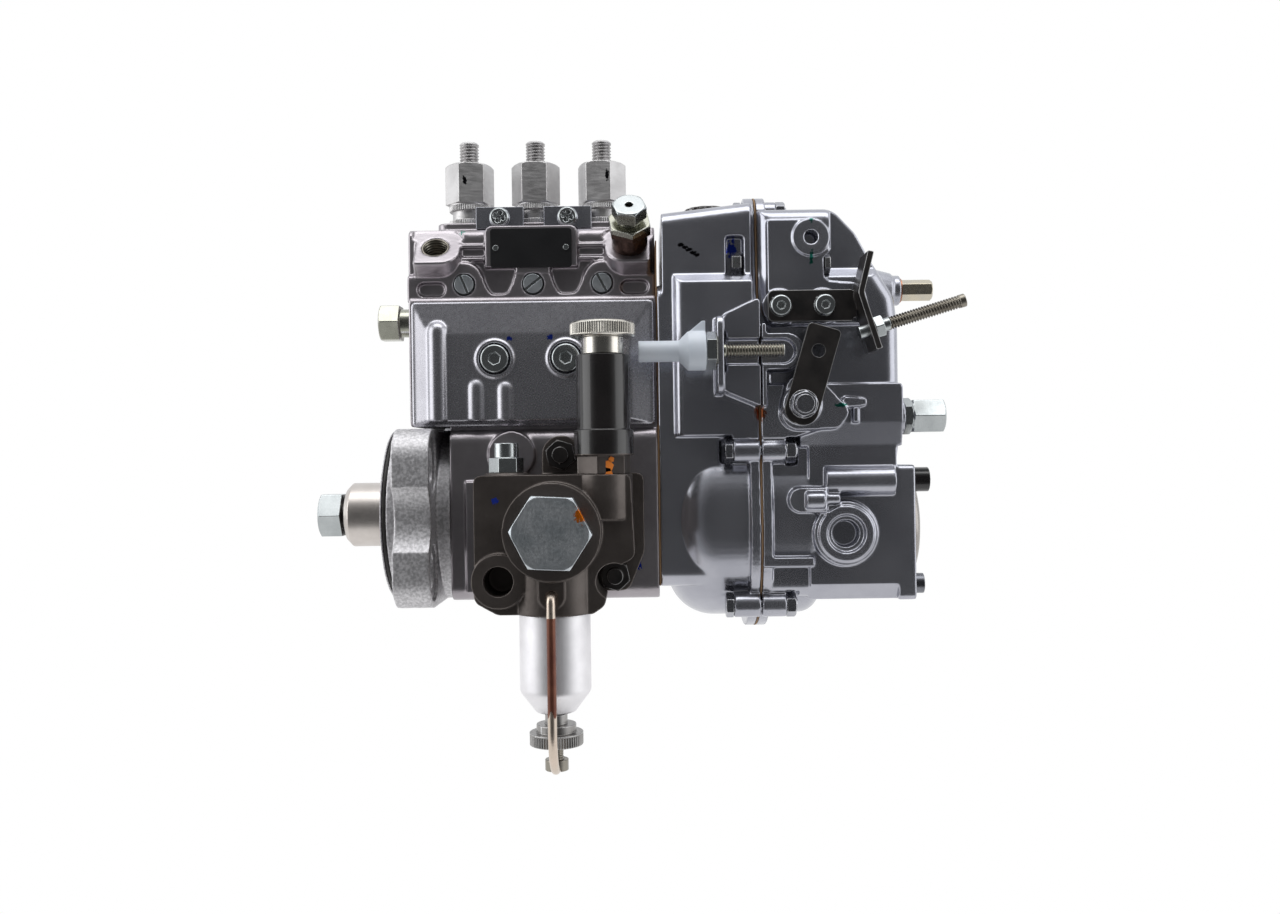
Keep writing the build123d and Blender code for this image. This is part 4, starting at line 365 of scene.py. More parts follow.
class Finish(Enum):
    """Every finish of the pump."""

    # In each cast skin the third colour is the pale colour of the painted highlight on its edges.
    HOUSING = CastSkin("housing_cast", (0.33, 0.305, 0.325), (0.41, 0.385, 0.405), (0.68, 0.68, 0.73), dabs=(
        Dab((27.0, -16.0, 132.0), (1.6, 3.0, 1.6), GREEN_INK),
        Dab((51.5, -36.0, 12.0), (1.0, 9.0, 1.0), BLUE_INK),
        Dab((106.4, -42.0, -22.8), (2.2, 9.0, 2.4), BLUE_INK),
    ))
    GOVERNOR = CastSkin("governor_cast", (0.38, 0.385, 0.43), (0.45, 0.455, 0.50), (0.72, 0.74, 0.80),
                        roughness=0.22, dabs=(
        Dab((186.0, -46.8, 132.6), (0.9, 3.0, 3.6), GREEN_INK),
        Dab((186.0, -46.8, 113.2), (0.9, 3.0, 3.6), GREEN_INK),
        Dab((197.0, -54.0, 47.6), (2.6, 3.0, 0.9), GREEN_INK),
        *(Dab((128.4 + 1.75 * n, -40.0, 121.2 - 1.15 * n), (1.5, 6.0, 0.9), BLACK_INK) for n in range(5)),
        Dab((151.5, -36.0, 119.0), (2.0, 6.0, 5.0), BLUE_INK),
        Dab((162.4, -46.0, 44.6), (2.2, 6.0, 3.0), RUST),
    ))
    COVER = CastSkin("cover_cast", (0.40, 0.395, 0.43), (0.46, 0.455, 0.49), (0.80, 0.80, 0.85),
                     roughness=0.26, grain=0.0, dabs=(
        Dab((50.5, -42.0, 80.0), (1.3, 4.0, 1.0), BLUE_INK),
        Dab((69.0, -42.0, 80.4), (1.6, 4.0, 1.2), BLUE_INK),
    ))
    END_COVER = CastSkin("end_cover_cast", (0.30, 0.28, 0.26), (0.38, 0.355, 0.335), (0.76, 0.74, 0.72),
                         roughness=0.26)
    FLANGE = CastSkin("flange_cast", (0.62, 0.61, 0.625), (0.70, 0.69, 0.705), (0.85, 0.85, 0.86),
                      roughness=0.50, grain=0.06, grain_scale=800.0, speckle=0.35)
    FEED = CastSkin("feed_cast", (0.080, 0.068, 0.062), (0.120, 0.104, 0.096), (0.30, 0.27, 0.25),
                    roughness=0.36, grain=0.02, metallic=0.7, dabs=(
        Dab((47.6, -72.0, 8.6), (1.5, 14.0, 1.5), BLUE_INK),
    ))
    STEEL = Metal("steel", (0.42, 0.42, 0.44), (0.50, 0.50, 0.52), roughness=0.28)
    DARK_STEEL = Metal("dark_steel", (0.15, 0.155, 0.175), (0.20, 0.205, 0.225), roughness=0.28, edge_highlight=0.55)
    BLACK_STEEL = Metal("black_steel", (0.050, 0.047, 0.047), (0.085, 0.078, 0.075), roughness=0.32,
                        metallic=0.8, edge_highlight=0.5)
    BOLT_STEEL = Metal("bolt_steel", (0.33, 0.335, 0.37), (0.40, 0.405, 0.44), roughness=0.26, edge_highlight=0.75)
    BLACK_PAINT = Plain("black_paint", (0.010, 0.009, 0.009), (0.016, 0.014, 0.014), roughness=0.16,
                        grain=0.001, coat=0.25)
    ZINC = Metal("zinc", (0.40, 0.425, 0.43), (0.47, 0.495, 0.50), roughness=0.24)
    HOLDER_STEEL = Metal("holder_steel", (0.50, 0.49, 0.49), (0.60, 0.59, 0.59), roughness=0.44,
                         spread=0.06, grain=0.012, stretch=(0.2, 0.2, 1.0), dabs=(
        Dab((27.0, -10.0, 158.6), (1.0, 4.0, 2.2), BLACK_INK),
        Dab((94.8, -10.0, 160.5), (1.0, 4.0, 2.4), BLACK_INK),
    ))
    YELLOW_ZINC = Metal("yellow_zinc", (0.60, 0.54, 0.42), (0.52, 0.49, 0.42), roughness=0.28)
    BAIL_WIRE = Metal("bail_plating", (0.66, 0.55, 0.47), (0.58, 0.50, 0.42), roughness=0.30)
    BAIL_STAIN = Metal("bail_stain", (0.13, 0.045, 0.03), (0.19, 0.075, 0.045), roughness=0.36, metallic=0.6)
    COPPER = Metal("copper", (0.45, 0.21, 0.12), (0.36, 0.17, 0.11), roughness=0.34)
    NICKEL = Metal("nickel", (0.56, 0.53, 0.48), (0.62, 0.60, 0.55), roughness=0.20)
    SATIN = Metal("satin_sleeve", (0.56, 0.52, 0.49), (0.62, 0.58, 0.55), roughness=0.36)
    BRIGHT = Metal("polished_aluminium", (0.76, 0.75, 0.77), (0.83, 0.82, 0.84), roughness=0.46)
    OLIVE_STEEL = Metal("olive_steel", (0.33, 0.33, 0.28), (0.42, 0.42, 0.36), roughness=0.26, edge_highlight=0.6)
    TIP_STEEL = Metal("tip_steel", (0.38, 0.37, 0.37), (0.46, 0.45, 0.45), roughness=0.38, hollow_shade=0.95)
    PLUG_STEEL = Metal("plug_steel", (0.48, 0.52, 0.55), (0.66, 0.69, 0.72), roughness=0.40, spread=0.05,
                       dabs=(Dab((84.6, -94.0, 3.0), (2.8, 9.0, 3.6), ORANGE_PAINT),))
    THREAD_STEEL = Metal("thread_steel", (0.22, 0.20, 0.17), (0.29, 0.27, 0.23), roughness=0.32,
                         hollow_shade=0.95)
    KNURL_STEEL = Metal("knurl_steel", (0.28, 0.27, 0.26), (0.36, 0.35, 0.34), roughness=0.34,
                        hollow_shade=0.9, edge_highlight=0.6)
    BROWN_STEEL = Metal("brown_steel", (0.060, 0.036, 0.028), (0.09, 0.055, 0.045), roughness=0.24,
                        metallic=0.85)
    SPRING = Metal("spring_steel", (0.30, 0.30, 0.32), (0.36, 0.36, 0.38), roughness=0.32)
    RUBBER = Plain("rubber", (0.012, 0.011, 0.010), (0.02, 0.018, 0.016), roughness=0.5)
    PAPER = Plain("paper", (0.20, 0.115, 0.055), (0.27, 0.165, 0.085), roughness=0.75)
    NYLON = Plain("white_nylon", (0.62, 0.67, 0.74), (0.68, 0.72, 0.78), roughness=0.42)
    PLATE = Plain("black_plate", (0.006, 0.006, 0.007), (0.010, 0.010, 0.011), roughness=0.36)
    ORANGE = Plain("orange_paint", (0.80, 0.20, 0.02), (0.88, 0.27, 0.04), roughness=0.5)


MATERIALS: dict[Finish, Material] = {}


def material(finish: Finish) -> Material:
    """Gives the material of a finish, made once.

    Args:
        finish: The finish.

    Returns:
        The material.
    """
    if finish not in MATERIALS:
        MATERIALS[finish] = finish.value.make()
    return MATERIALS[finish]


def dress(obj: Obj, *finishes: Finish) -> None:
    """Gives an object its finishes.

    Args:
        obj: The object.
        *finishes: The finishes, the main one first.
    """
    obj.data.materials.clear()
    for finish in finishes:
        obj.data.materials.append(material(finish))


def place_object(name: str, data: bpy.types.ID) -> Obj:
    """Puts an object into the scene.

    Args:
        name: The object's name.
        data: Its mesh, camera or light.

    Returns:
        The object.
    """
    obj = bpy.data.objects.new(name, data)
    bpy.context.scene.collection.objects.link(obj)
    return obj


def body_of(node: str) -> str:
    """Finds the body that carries a node."""
    return frame["nodes"][node]["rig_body"]


# ---- shaping
class Carving(Protocol):
    """Something that moves the points of a mesh."""

    def carve(self, points: Points) -> Points:
        """Takes points, one row each in metres, and gives them back moved."""


@dataclass(frozen=True)
class Turned:
    """A place on a round piece: the foot of an axis, its direction, and a length along it, in millimetres."""

    foot: Point
    axis: Point
    length: float

    def split(self, points: Points) -> tuple[Points, Points, Points, Points, Points]:
        """Splits points into place along the axis, distance from it and angle about it.

        Args:
            points: One row per point, in metres.

        Returns:
            Height and radius in millimetres, angle in radians, unit directions outward, and the axis points.
        """
        axis = Vector(self.axis).normalized()
        side = axis.orthogonal().normalized()
        other = axis.cross(side)
        local = points / MM - np.array(self.foot)
        height = local @ np.array(axis)
        across = local - np.outer(height, np.array(axis))
        radius = np.linalg.norm(across, axis=1)
        angle = np.arctan2(across @ np.array(other), across @ np.array(side))
        outward = across / np.maximum(radius, 1e-6)[:, None]
        on_axis = np.array(self.foot) + np.outer(height, np.array(axis))
        return height, radius, angle, outward, on_axis


def saw(phase: Points) -> Points:
    """Gives a triangle wave from 0 to 1, for a phase in turns."""
    return np.abs(2.0 * (phase - np.floor(phase)) - 1.0)


@dataclass(frozen=True)
class Skin(Turned):
    """A stretch of a round bar whose skin, of the given thickness, is moved in or out."""

    radius: float
    skin: float

    def redraw(self, height: Points, radius: Points, angle: Points) -> Points:
        """Works out new radii from places along the axis, radii and angles, in millimetres and radians."""
        return radius

    def carve(self, points: Points) -> Points:
        """Moves the skin.

        Args:
            points: One row per point, in metres.

        Returns:
            The moved points.
        """
        height, radius, angle, outward, on_axis = self.split(points)
        chosen = (height > 0) & (height < self.length)
        chosen &= (radius > self.radius - self.skin) & (radius < self.radius + SKIN_PLAY_MM)
        moved = (on_axis + outward * self.redraw(height, radius, angle)[:, None]) * MM
        return np.where(chosen[:, None], moved, points)


@dataclass(frozen=True)
class Thread(Skin):
    """A screw thread cut into a round bar."""

    depth: float
    pitch: float

    def redraw(self, height: Points, radius: Points, angle: Points) -> Points:
        """Cuts the thread."""
        return np.minimum(radius, self.radius) - self.depth * saw(height / self.pitch - angle / FULL_TURN)


@dataclass(frozen=True)
class Thinned(Skin):
    """A stretch of a round bar made slimmer, where a threaded sleeve takes its place."""

    share: float = 0.8

    def redraw(self, height: Points, radius: Points, angle: Points) -> Points:
        """Draws the skin inward."""
        return radius * self.share


@dataclass(frozen=True)
class Knurl(Skin):
    """Straight teeth round a disc or collar."""

    depth: float
    teeth: int

    def redraw(self, height: Points, radius: Points, angle: Points) -> Points:
        """Cuts the teeth."""
        return radius - self.depth * saw(angle * self.teeth / FULL_TURN)


@dataclass(frozen=True)
class Swivel(Turned):
    """A turn of a head about its own axis."""

    degrees: float

    def carve(self, points: Points) -> Points:
        """Turns the points.

        Args:
            points: One row per point, in metres.

        Returns:
            The moved points.
        """
        height = self.split(points)[0]
        chosen = (height > 0) & (height < self.length)
        turn = np.array(Matrix.Rotation(math.radians(self.degrees), 3, Vector(self.axis)))
        foot = np.array(self.foot) * MM
        return np.where(chosen[:, None], (points - foot) @ turn.T + foot, points)


@dataclass(frozen=True)
class Recess(Turned):
    """A cross of four arms or a socket of more sides, sunk by its length into the head's face at its foot."""

    width: float
    reach: float
    sides: int = 6
    turn: float = 0.0
    face_play: float = 0.75

    def carve(self, points: Points) -> Points:
        """Sinks the face inside the recess.

        Args:
            points: One row per point, in metres.

        Returns:
            The moved points.
        """
        height, radius, angle, _, _ = self.split(points)
        angle = angle - math.radians(self.turn)
        if self.sides == 4:
            off = np.minimum(np.abs(np.sin(angle)), np.abs(np.cos(angle))) * radius
        else:
            step = FULL_TURN / self.sides
            off = radius * np.cos(np.mod(angle + step / 2, step) - step / 2)
        chosen = (off < self.width / 2) & (radius < self.reach) & (np.abs(height) < self.face_play)
        axis = np.array(Vector(self.axis).normalized())
        return np.where(chosen[:, None], points - axis * self.length * MM, points)


@dataclass(frozen=True)
class Grain:
    """The uneven skin that sand leaves on a casting, as three crossing waves."""

    height: float
    scale: float

    def carve(self, points: Points) -> Points:
        """Moves the points a little.

        Args:
            points: One row per point, in metres.

        Returns:
            The moved points.
        """
        x, y, z = (points / MM / self.scale).T
        wave = np.sin(x + 1.7 * np.sin(z * 0.9)) * np.sin(y * 1.1 + np.sin(x * 1.3))
        wave = wave * np.sin(z + np.sin(y * 0.8))
        shift = np.stack((wave, np.roll(wave, 1), np.roll(wave, 2)), axis=1)
        return points + shift * self.height * MM


# ---- zones of finish
@dataclass
class Zone:
    """A box of a piece, in millimetres, with its own finish."""

    finish: Finish
    x: Pair = (-FAR, FAR)
    y: Pair = (-FAR, FAR)
    z: Pair = (-FAR, FAR)

    def inside(self, centres: Points) -> Points:
        """Tells which face centres lie in the zone."""
        low, high = np.array((self.x, self.y, self.z)).T
        return ((centres > low) & (centres < high)).all(axis=1)


@dataclass
class Heads(Zone):
    """Screw heads round places in X and Z."""

    places: Sequence[Pair] = ()
    reach: float = 0.0

    def inside(self, centres: Points) -> Points:
        """Tells which face centres lie on a head."""
        on_head = [np.hypot(centres[:, 0] - x, centres[:, 2] - z) < self.reach for x, z in self.places]
        return np.any(on_head, axis=0) & super().inside(centres)


@dataclass
class Stretch(Zone):
    """What lies past a length along a leaning axis."""

    foot: Point = (0.0, 0.0, 0.0)
    axis: Point = UP
    length: float = 0.0

    def inside(self, centres: Points) -> Points:
        """Tells which face centres lie past the length."""
        return (centres - np.array(self.foot)) @ np.array(self.axis) > self.length


@dataclass
class Stain(Zone):
    """A stretch along Z whose lower end is ragged."""

    def inside(self, centres: Points) -> Points:
        """Tells which face centres are stained."""
        x, _, z = centres.T
        return (z > self.z[0] - 1.5 * np.sin(x * 2.1)) & (z < self.z[1])


# ---- pieces made from nodes
def bare_copy(name: str, nodes: Sequence[str]) -> Obj:
    """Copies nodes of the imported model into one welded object.

    Args:
        name: The new object's name.
        nodes: The nodes.

    Returns:
        The object.
    """
    mesh = bpy.data.meshes.new(name)
    bm = bmesh.new()
    for node in nodes:
        bm.from_mesh(frame["nodes"][node].data)
    bmesh.ops.remove_doubles(bm, verts=bm.verts, dist=WELD_MM * MM)
    bm.to_mesh(mesh)
    bm.free()
    return place_object(name, mesh)


def modify(obj: Obj, kind: str, **settings: object) -> None:
    """Adds a modifier.

    Args:
        obj: The object.
        kind: The modifier's type.
        **settings: Its properties.
    """
    modifier = obj.modifiers.new(kind.lower(), kind)
    for key, value in settings.items():
        setattr(modifier, key, value)


def settle(obj: Obj) -> None:
    """Turns an object's modifiers into plain mesh.

    Args:
        obj: The object.
    """
    graph = bpy.context.evaluated_depsgraph_get()
    old = obj.data
    obj.data = bpy.data.meshes.new_from_object(obj.evaluated_get(graph))
    obj.modifiers.clear()
    bpy.data.meshes.remove(old)
    obj.data.name = obj.name


@dataclass
class Formed:
    """A piece made anew from nodes: even mesh, edges softened in rounds, carved detail, finishes by zone."""

    name: str
    nodes: tuple[str, ...]
    finish: Finish
    voxel: float
    rounds: int
    carvings: Sequence[Carving] = ()
    zones: Sequence[Zone] = ()

    def soften(self, obj: Obj) -> None:
        """Evens out the mesh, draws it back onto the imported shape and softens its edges.

        Args:
            obj: The object.
        """
        guide = bare_copy(f"{self.name}_guide", self.nodes)
        modify(obj, "REMESH", mode="VOXEL", voxel_size=self.voxel * MM)
        modify(obj, "SHRINKWRAP", target=guide, wrap_method="NEAREST_SURFACEPOINT")
        modify(obj, "SMOOTH", factor=0.5, iterations=self.rounds)
        settle(obj)
        bpy.data.objects.remove(guide)

    def build(self) -> None:
        """Makes the piece, and has it stand for its nodes."""
        obj = bare_copy(self.name, self.nodes)
        self.soften(obj)
        mesh = obj.data
        points = np.empty((len(mesh.vertices), 3))
        mesh.vertices.foreach_get("co", points.ravel())
        for carving in self.carvings:
            points = carving.carve(points)
        mesh.vertices.foreach_set("co", points.ravel())
        mesh.update()
        dress(obj, self.finish, *(zone.finish for zone in self.zones))
        centres = np.empty((len(mesh.polygons), 3))
        mesh.polygons.foreach_get("center", centres.ravel())
        index = np.zeros(len(mesh.polygons), dtype=np.int32)
        for number, zone in enumerate(self.zones, 1):
            index[zone.inside(centres / MM)] = number
        mesh.polygons.foreach_set("material_index", index)
        mesh.polygons.foreach_set("use_smooth", np.ones(len(mesh.polygons), dtype=bool))
        mesh.update()
        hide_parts(*self.nodes)
        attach(obj, frame["nodes"][self.nodes[0]]["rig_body"])
        log.info("%s: %d faces", self.name, len(mesh.polygons))


# ---- small parts made here
def new_piece(name: str, bm: BMesh, body: str, finish: Finish, smooth: bool = False,
              edge_mm: float = 0.0) -> None:
    """Turns a worked mesh into a piece that rides on a body.

    Args:
        name: The piece's name.
        bm: The mesh, in metres, which is used up.
        body: The body that carries it.
        finish: Its finish.
        smooth: Whether its faces are shaded smooth.
        edge_mm: Width of its rounded edges.
    """
    bmesh.ops.recalc_face_normals(bm, faces=bm.faces)
    mesh = bpy.data.meshes.new(name)
    bm.to_mesh(mesh)
    bm.free()
    obj = place_object(name, mesh)
    if edge_mm > 0:
        modify(obj, "BEVEL", width=edge_mm * MM, segments=2, limit_method="ANGLE")
        settle(obj)
    dress(obj, finish)
    if smooth:
        obj.data.shade_smooth()
    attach(obj, body)
    log.info("%s: %d faces", name, len(obj.data.polygons))


def stand(foot: Point, axis: Point, turn: float = 0.0) -> Matrix:
    """Gives the place of a part that is drawn in millimetres about Z.

    Args:
        foot: Its origin, in millimetres.
        axis: Direction of its axis.
        turn: Turn about its axis, in degrees.

    Returns:
        The matrix.
    """
    tilt = Vector(axis).normalized().to_track_quat("Z", "Y").to_matrix().to_4x4()
    spin = Matrix.Rotation(math.radians(turn), 4, "Z") @ Matrix.Scale(MM, 4)
    return Matrix.Translation(Vector(foot) * MM) @ tilt @ spin


def prism(bm: BMesh, place: Matrix, length: float, radius: float, sides: int) -> None:
    """Adds a closed prism to a mesh. Its first end stands at the place, and its radius is to its corners."""
    bmesh.ops.create_cone(bm, cap_ends=True, cap_tris=False, segments=sides, radius1=radius, radius2=radius,
                          depth=length, matrix=place @ Matrix.Translation((0, 0, length / 2)))


def half_disc(bm: BMesh, place: Matrix, length: float, radius: float, gap: float) -> None:
    """Adds one side of a slotted screw's face to a mesh, in millimetres.

    Args:
        bm: The mesh.
        place: Where the face stands.
        length: Thickness of the face.
        radius: Its radius.
        gap: Width of the slot.
    """
    count = 21
    start = math.asin(gap / 2 / radius)
    angles = [start + (math.pi - 2 * start) * n / (count - 1) for n in range(count)]
    rim = [(radius * math.cos(a), radius * math.sin(a)) for a in angles]
    low, high = ([bm.verts.new(place @ Vector((x, y, z))) for x, y in rim] for z in (0.0, length))
    bm.faces.new(low)
    bm.faces.new(high)
    for n in range(count):
        after = (n + 1) % count
        bm.faces.new((low[n], low[after], high[after], high[n]))


def lathe(bm: BMesh, place: Matrix, profile: Sequence[Pair], steps: int = 64,
          pitch: float = 1.0, depth: float = 0.0, plain: int = 0) -> None:
    """Adds a closed turned ring to a mesh, with a thread on its profile if asked.

    Args:
        bm: The mesh.
        place: Where the profile's origin stands.
        profile: Closed outline as (height, radius) pairs, in millimetres.
        steps: Number of steps round the axis.
        pitch: Pitch of the thread.
        depth: Depth of the thread.
        plain: How many points at the outline's end have no thread.
    """
    lengths, radii = np.array(profile).T
    depths = np.where(np.arange(len(profile)) < len(profile) - plain, depth, 0.0)
    rings = []
    for step in range(steps):
        angle = FULL_TURN * step / steps
        reach = radii + depths * saw(lengths / pitch - step / steps)
        ring = zip(reach * math.cos(angle), reach * math.sin(angle), lengths)
        rings.append([bm.verts.new(place @ Vector(point)) for point in ring])
    for here, there in zip(rings, rings[1:] + rings[:1]):
        for a, b, c, d in zip(here, there, there[1:] + there[:1], here[1:] + here[:1]):
            bm.faces.new((a, b, c, d))


@dataclass(frozen=True)
class Cut:
    """Pitch and depth of a thread, in millimetres."""

    pitch: float
    depth: float
    rows_per_turn: int = 8
    steps: int = 48


def threaded_sleeve(name: str, body: str, finish: Finish, bar: Thinned, cut: Cut) -> None:
    """Makes a cleanly cut thread over a thinned stretch of a bar.

    Args:
        name: The piece's name.
        body: The body that carries it.
        finish: Its finish.
        bar: The bar.
        cut: The thread.
    """
    rows = int(bar.length / cut.pitch * cut.rows_per_turn)
    outer = [(bar.length * n / rows, bar.radius - cut.depth) for n in range(rows + 1)]
    core = bar.radius * 0.5
    bm = bmesh.new()
    outline = [*outer, (bar.length, core), (0.0, core)]
    lathe(bm, stand(bar.foot, bar.axis), outline, cut.steps, cut.pitch, cut.depth)
    new_piece(name, bm, body, finish, smooth=True)


# ---- castings
@dataclass
class Castings:
    """The cast bodies, with the soft edges and the grain that sand and dies leave."""

    fine_mm: float = 0.5
    flange_mm: float = 0.6
    cover_mm: float = 0.62
    coarse_mm: float = 0.72

    def build(self) -> None:
        """Makes every cast body anew."""
        coarse, flange, fine = self.coarse_mm, self.flange_mm, self.fine_mm
        for casting in (
            Formed("housing_casting", ("pump_housing",), Finish.HOUSING, coarse, 5, (Grain(0.05, 1.3),)),
            Formed("governor_casting", ("governor_housing",), Finish.GOVERNOR, coarse, 6),
            Formed("cover_casting", ("governor_cover",), Finish.GOVERNOR, self.cover_mm, 7),
            Formed("side_cover_casting", ("side_cover",), Finish.COVER, coarse, 6),
            Formed("flange_casting", ("drive_flange",), Finish.FLANGE, flange, 3, (Grain(0.07, 1.1),)),
            Formed("feed_pump_casting", ("feed_pump_body",), Finish.FEED, fine, 3, (Grain(0.04, 1.2),)),
            Formed("end_cover_casting", ("rear_plate",), Finish.END_COVER, fine, 3),
        ):
            casting.build()


# ---- delivery head
@dataclass
class DeliveryHead:
    """Delivery holders, lock plates, barrel screws, name plate, gallery thread and overflow valve."""

    holder_xs: tuple[float, ...] = (28.0, 60.0, 92.0)
    tip_z: float = 169.0
    tip_length: float = 8.7
    tip_r: float = 4.7
    tip_skin: float = 3.29
    tip_cut: Cut = Cut(1.5, 0.85)
    collar_zs: tuple[float, ...] = (145.1, 138.0)
    collar_height: float = 2.7
    collar_r: float = 9.9
    lock_screws: tuple[Pair, ...] = ((44.0, 139.6), (76.0, 139.6))
    lock_seat_y: float = -15.1
    screw_z: float = 107.2
    screw_turns: tuple[float, ...] = (112.0, 38.0, 118.0)
    screw_slot: float = 1.2
    screw_rim: float = 0.3
    plate_y: float = -25.15
    gallery: Point = (14.8, -23.0, 124.8)
    valve_foot: Point = (105.2, -23.0, 124.8)
    valve_body: float = 11.2
    valve_bleed: float = 21.6
    gallery_tilt: float = math.radians(40.0)
    inlet_cut: Cut = Cut(1.5, 0.6, 6, 72)
    inlet_depth: float = 12.2
    inlet_radii: Pair = (5.35, 6.17)

    @property
    def gallery_axis(self) -> Point:
        """Direction of the inlet bore and of the overflow valve."""
        return (0.0, -math.cos(self.gallery_tilt), math.sin(self.gallery_tilt))

    def holders(self) -> None:
        """Makes the delivery holders with threaded tips and serrated collars."""
        body = body_of("delivery_holders")
        carvings: list[Carving] = []
        for x in self.holder_xs:
            tip = Thinned((x, 0.0, self.tip_z), UP, self.tip_length, self.tip_r, self.tip_skin)
            threaded_sleeve(f"delivery_thread_{x:.0f}", body, Finish.TIP_STEEL, tip, self.tip_cut)
            carvings.append(tip)
            for z in self.collar_zs:
                carvings.append(Knurl((x, 0.0, z), UP, self.collar_height, self.collar_r, skin=0.9,
                                      depth=0.45, teeth=60))
        Formed("holders", ("delivery_holders",), Finish.HOLDER_STEEL, 0.27, 1, carvings).build()

    def lock_plates(self) -> None:
        """Makes the lock plates, whose screws have star recesses."""
        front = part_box("lock_plates")[0][1] / MM
        stars = [Recess((x, front, z), FRONT, 1.6, width=1.5, sides=4, turn=20.0, reach=2.9)
                 for x, z in self.lock_screws]
        heads = Heads(Finish.ZINC, y=(-FAR, self.lock_seat_y), places=self.lock_screws, reach=5.0)
        Formed("lock_plates_set", ("lock_plates",), Finish.GOVERNOR, 0.25, 1, stars, (heads,)).build()

    def barrel_screws(self) -> None:
        """Lays the slotted faces on the screws that hold the barrels."""
        low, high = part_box("barrel_screws")
        radius = (high[2] - low[2]) / 2 / MM - self.screw_rim
        bm = bmesh.new()
        for x, turn in zip(self.holder_xs, self.screw_turns):
            foot = (x, low[1] / MM + 0.05, self.screw_z)
            for side in (0.0, 180.0):
                half_disc(bm, stand(foot, FRONT, turn + side), 0.5, radius, self.screw_slot)
        new_piece("barrel_screw_faces", bm, body_of("barrel_screws"), Finish.PLUG_STEEL, edge_mm=0.15)

    def overflow_valve(self) -> None:
        """Makes the overflow valve: brown body, large hexagon and small plated bleed hexagon."""
        foot, axis = self.valve_foot, self.gallery_axis
        zones = (
            Stretch(Finish.OLIVE_STEEL, foot=foot, axis=axis, length=self.valve_body),
            Stretch(Finish.ZINC, foot=foot, axis=axis, length=self.valve_bleed),
        )
        Formed("overflow_valve_set", ("overflow_valve",), Finish.BROWN_STEEL, 0.27, 1, (), zones).build()

    def inlet_thread(self) -> None:
        """Lays the thread in the inlet bore."""
        cut = self.inlet_cut
        inner, rim = self.inlet_radii
        row = cut.pitch / cut.rows_per_turn
        rows = int(self.inlet_depth / row) + 1
        wall = [(row * n - self.inlet_depth, inner) for n in range(rows)]
        outline = [*wall, (wall[-1][0], rim), (wall[0][0], rim)]
        bm = bmesh.new()
        lathe(bm, stand(self.gallery, self.gallery_axis), outline, cut.steps, cut.pitch, cut.depth, plain=2)
        new_piece("inlet_thread", bm, body_of("pump_housing"), Finish.THREAD_STEEL, smooth=True)

    def build(self) -> None:
        """Builds the head's pieces."""
        self.holders()
        self.lock_plates()
        self.barrel_screws()
        self.overflow_valve()
        self.inlet_thread()
        rivets = Zone(Finish.ZINC, y=(-FAR, self.plate_y))
        Formed("name_plate_set", ("name_plate",), Finish.PLATE, 0.2, 1, (), (rivets,)).build()


# ---- drive end, side cover and end cover
@dataclass
class HousingTrim:
    """Shaft nut, washer and sleeve at the drive end, screws of the two covers, plugs of the housing."""

    washer_x: float = -34.7
    screw_xs: tuple[float, ...] = (44.0, 76.0)
    screw_z: float = 71.0
    end_screw_ys: tuple[float, ...] = (-31.0, 31.0)
    end_screw_z: float = 14.8
    end_x: float = 200.0
    rack_cap_z: float = 60.0

    def build(self) -> None:
        """Builds the pieces."""
        washer = Zone(Finish.BLACK_STEEL, x=(self.washer_x, FAR))
        Formed("shaft_nut_set", ("shaft_nut",), Finish.ZINC, 0.25, 1, (), (washer,)).build()
        Formed("sleeve_turned", ("shaft_sleeve",), Finish.SATIN, 0.35, 1).build()
        low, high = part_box("cover_screws")
        front, right = low[1] / MM, high[0] / MM
        sockets = [Recess((x, front, self.screw_z), FRONT, 2.2, width=3.9, turn=10.0, reach=2.4)
                   for x in self.screw_xs]
        sockets += [Recess((right, y, self.end_screw_z), RIGHT, 3.0, width=4.0, reach=3.0)
                    for y in self.end_screw_ys]
        end = (self.end_x, FAR)
        zones = (
            Zone(Finish.BLACK_PAINT, x=end, z=(0.0, FAR)),
            Zone(Finish.DARK_STEEL, x=end, z=(-FAR, 0.0)),
        )
        Formed("cover_screw_set", ("cover_screws",), Finish.ZINC, 0.27, 1, sockets, zones).build()
        rack_cap = Zone(Finish.OLIVE_STEEL, z=(self.rack_cap_z, FAR))
        Formed("plug_set", ("housing_plugs",), Finish.DARK_STEEL, 0.33, 1, (), (rack_cap,)).build()


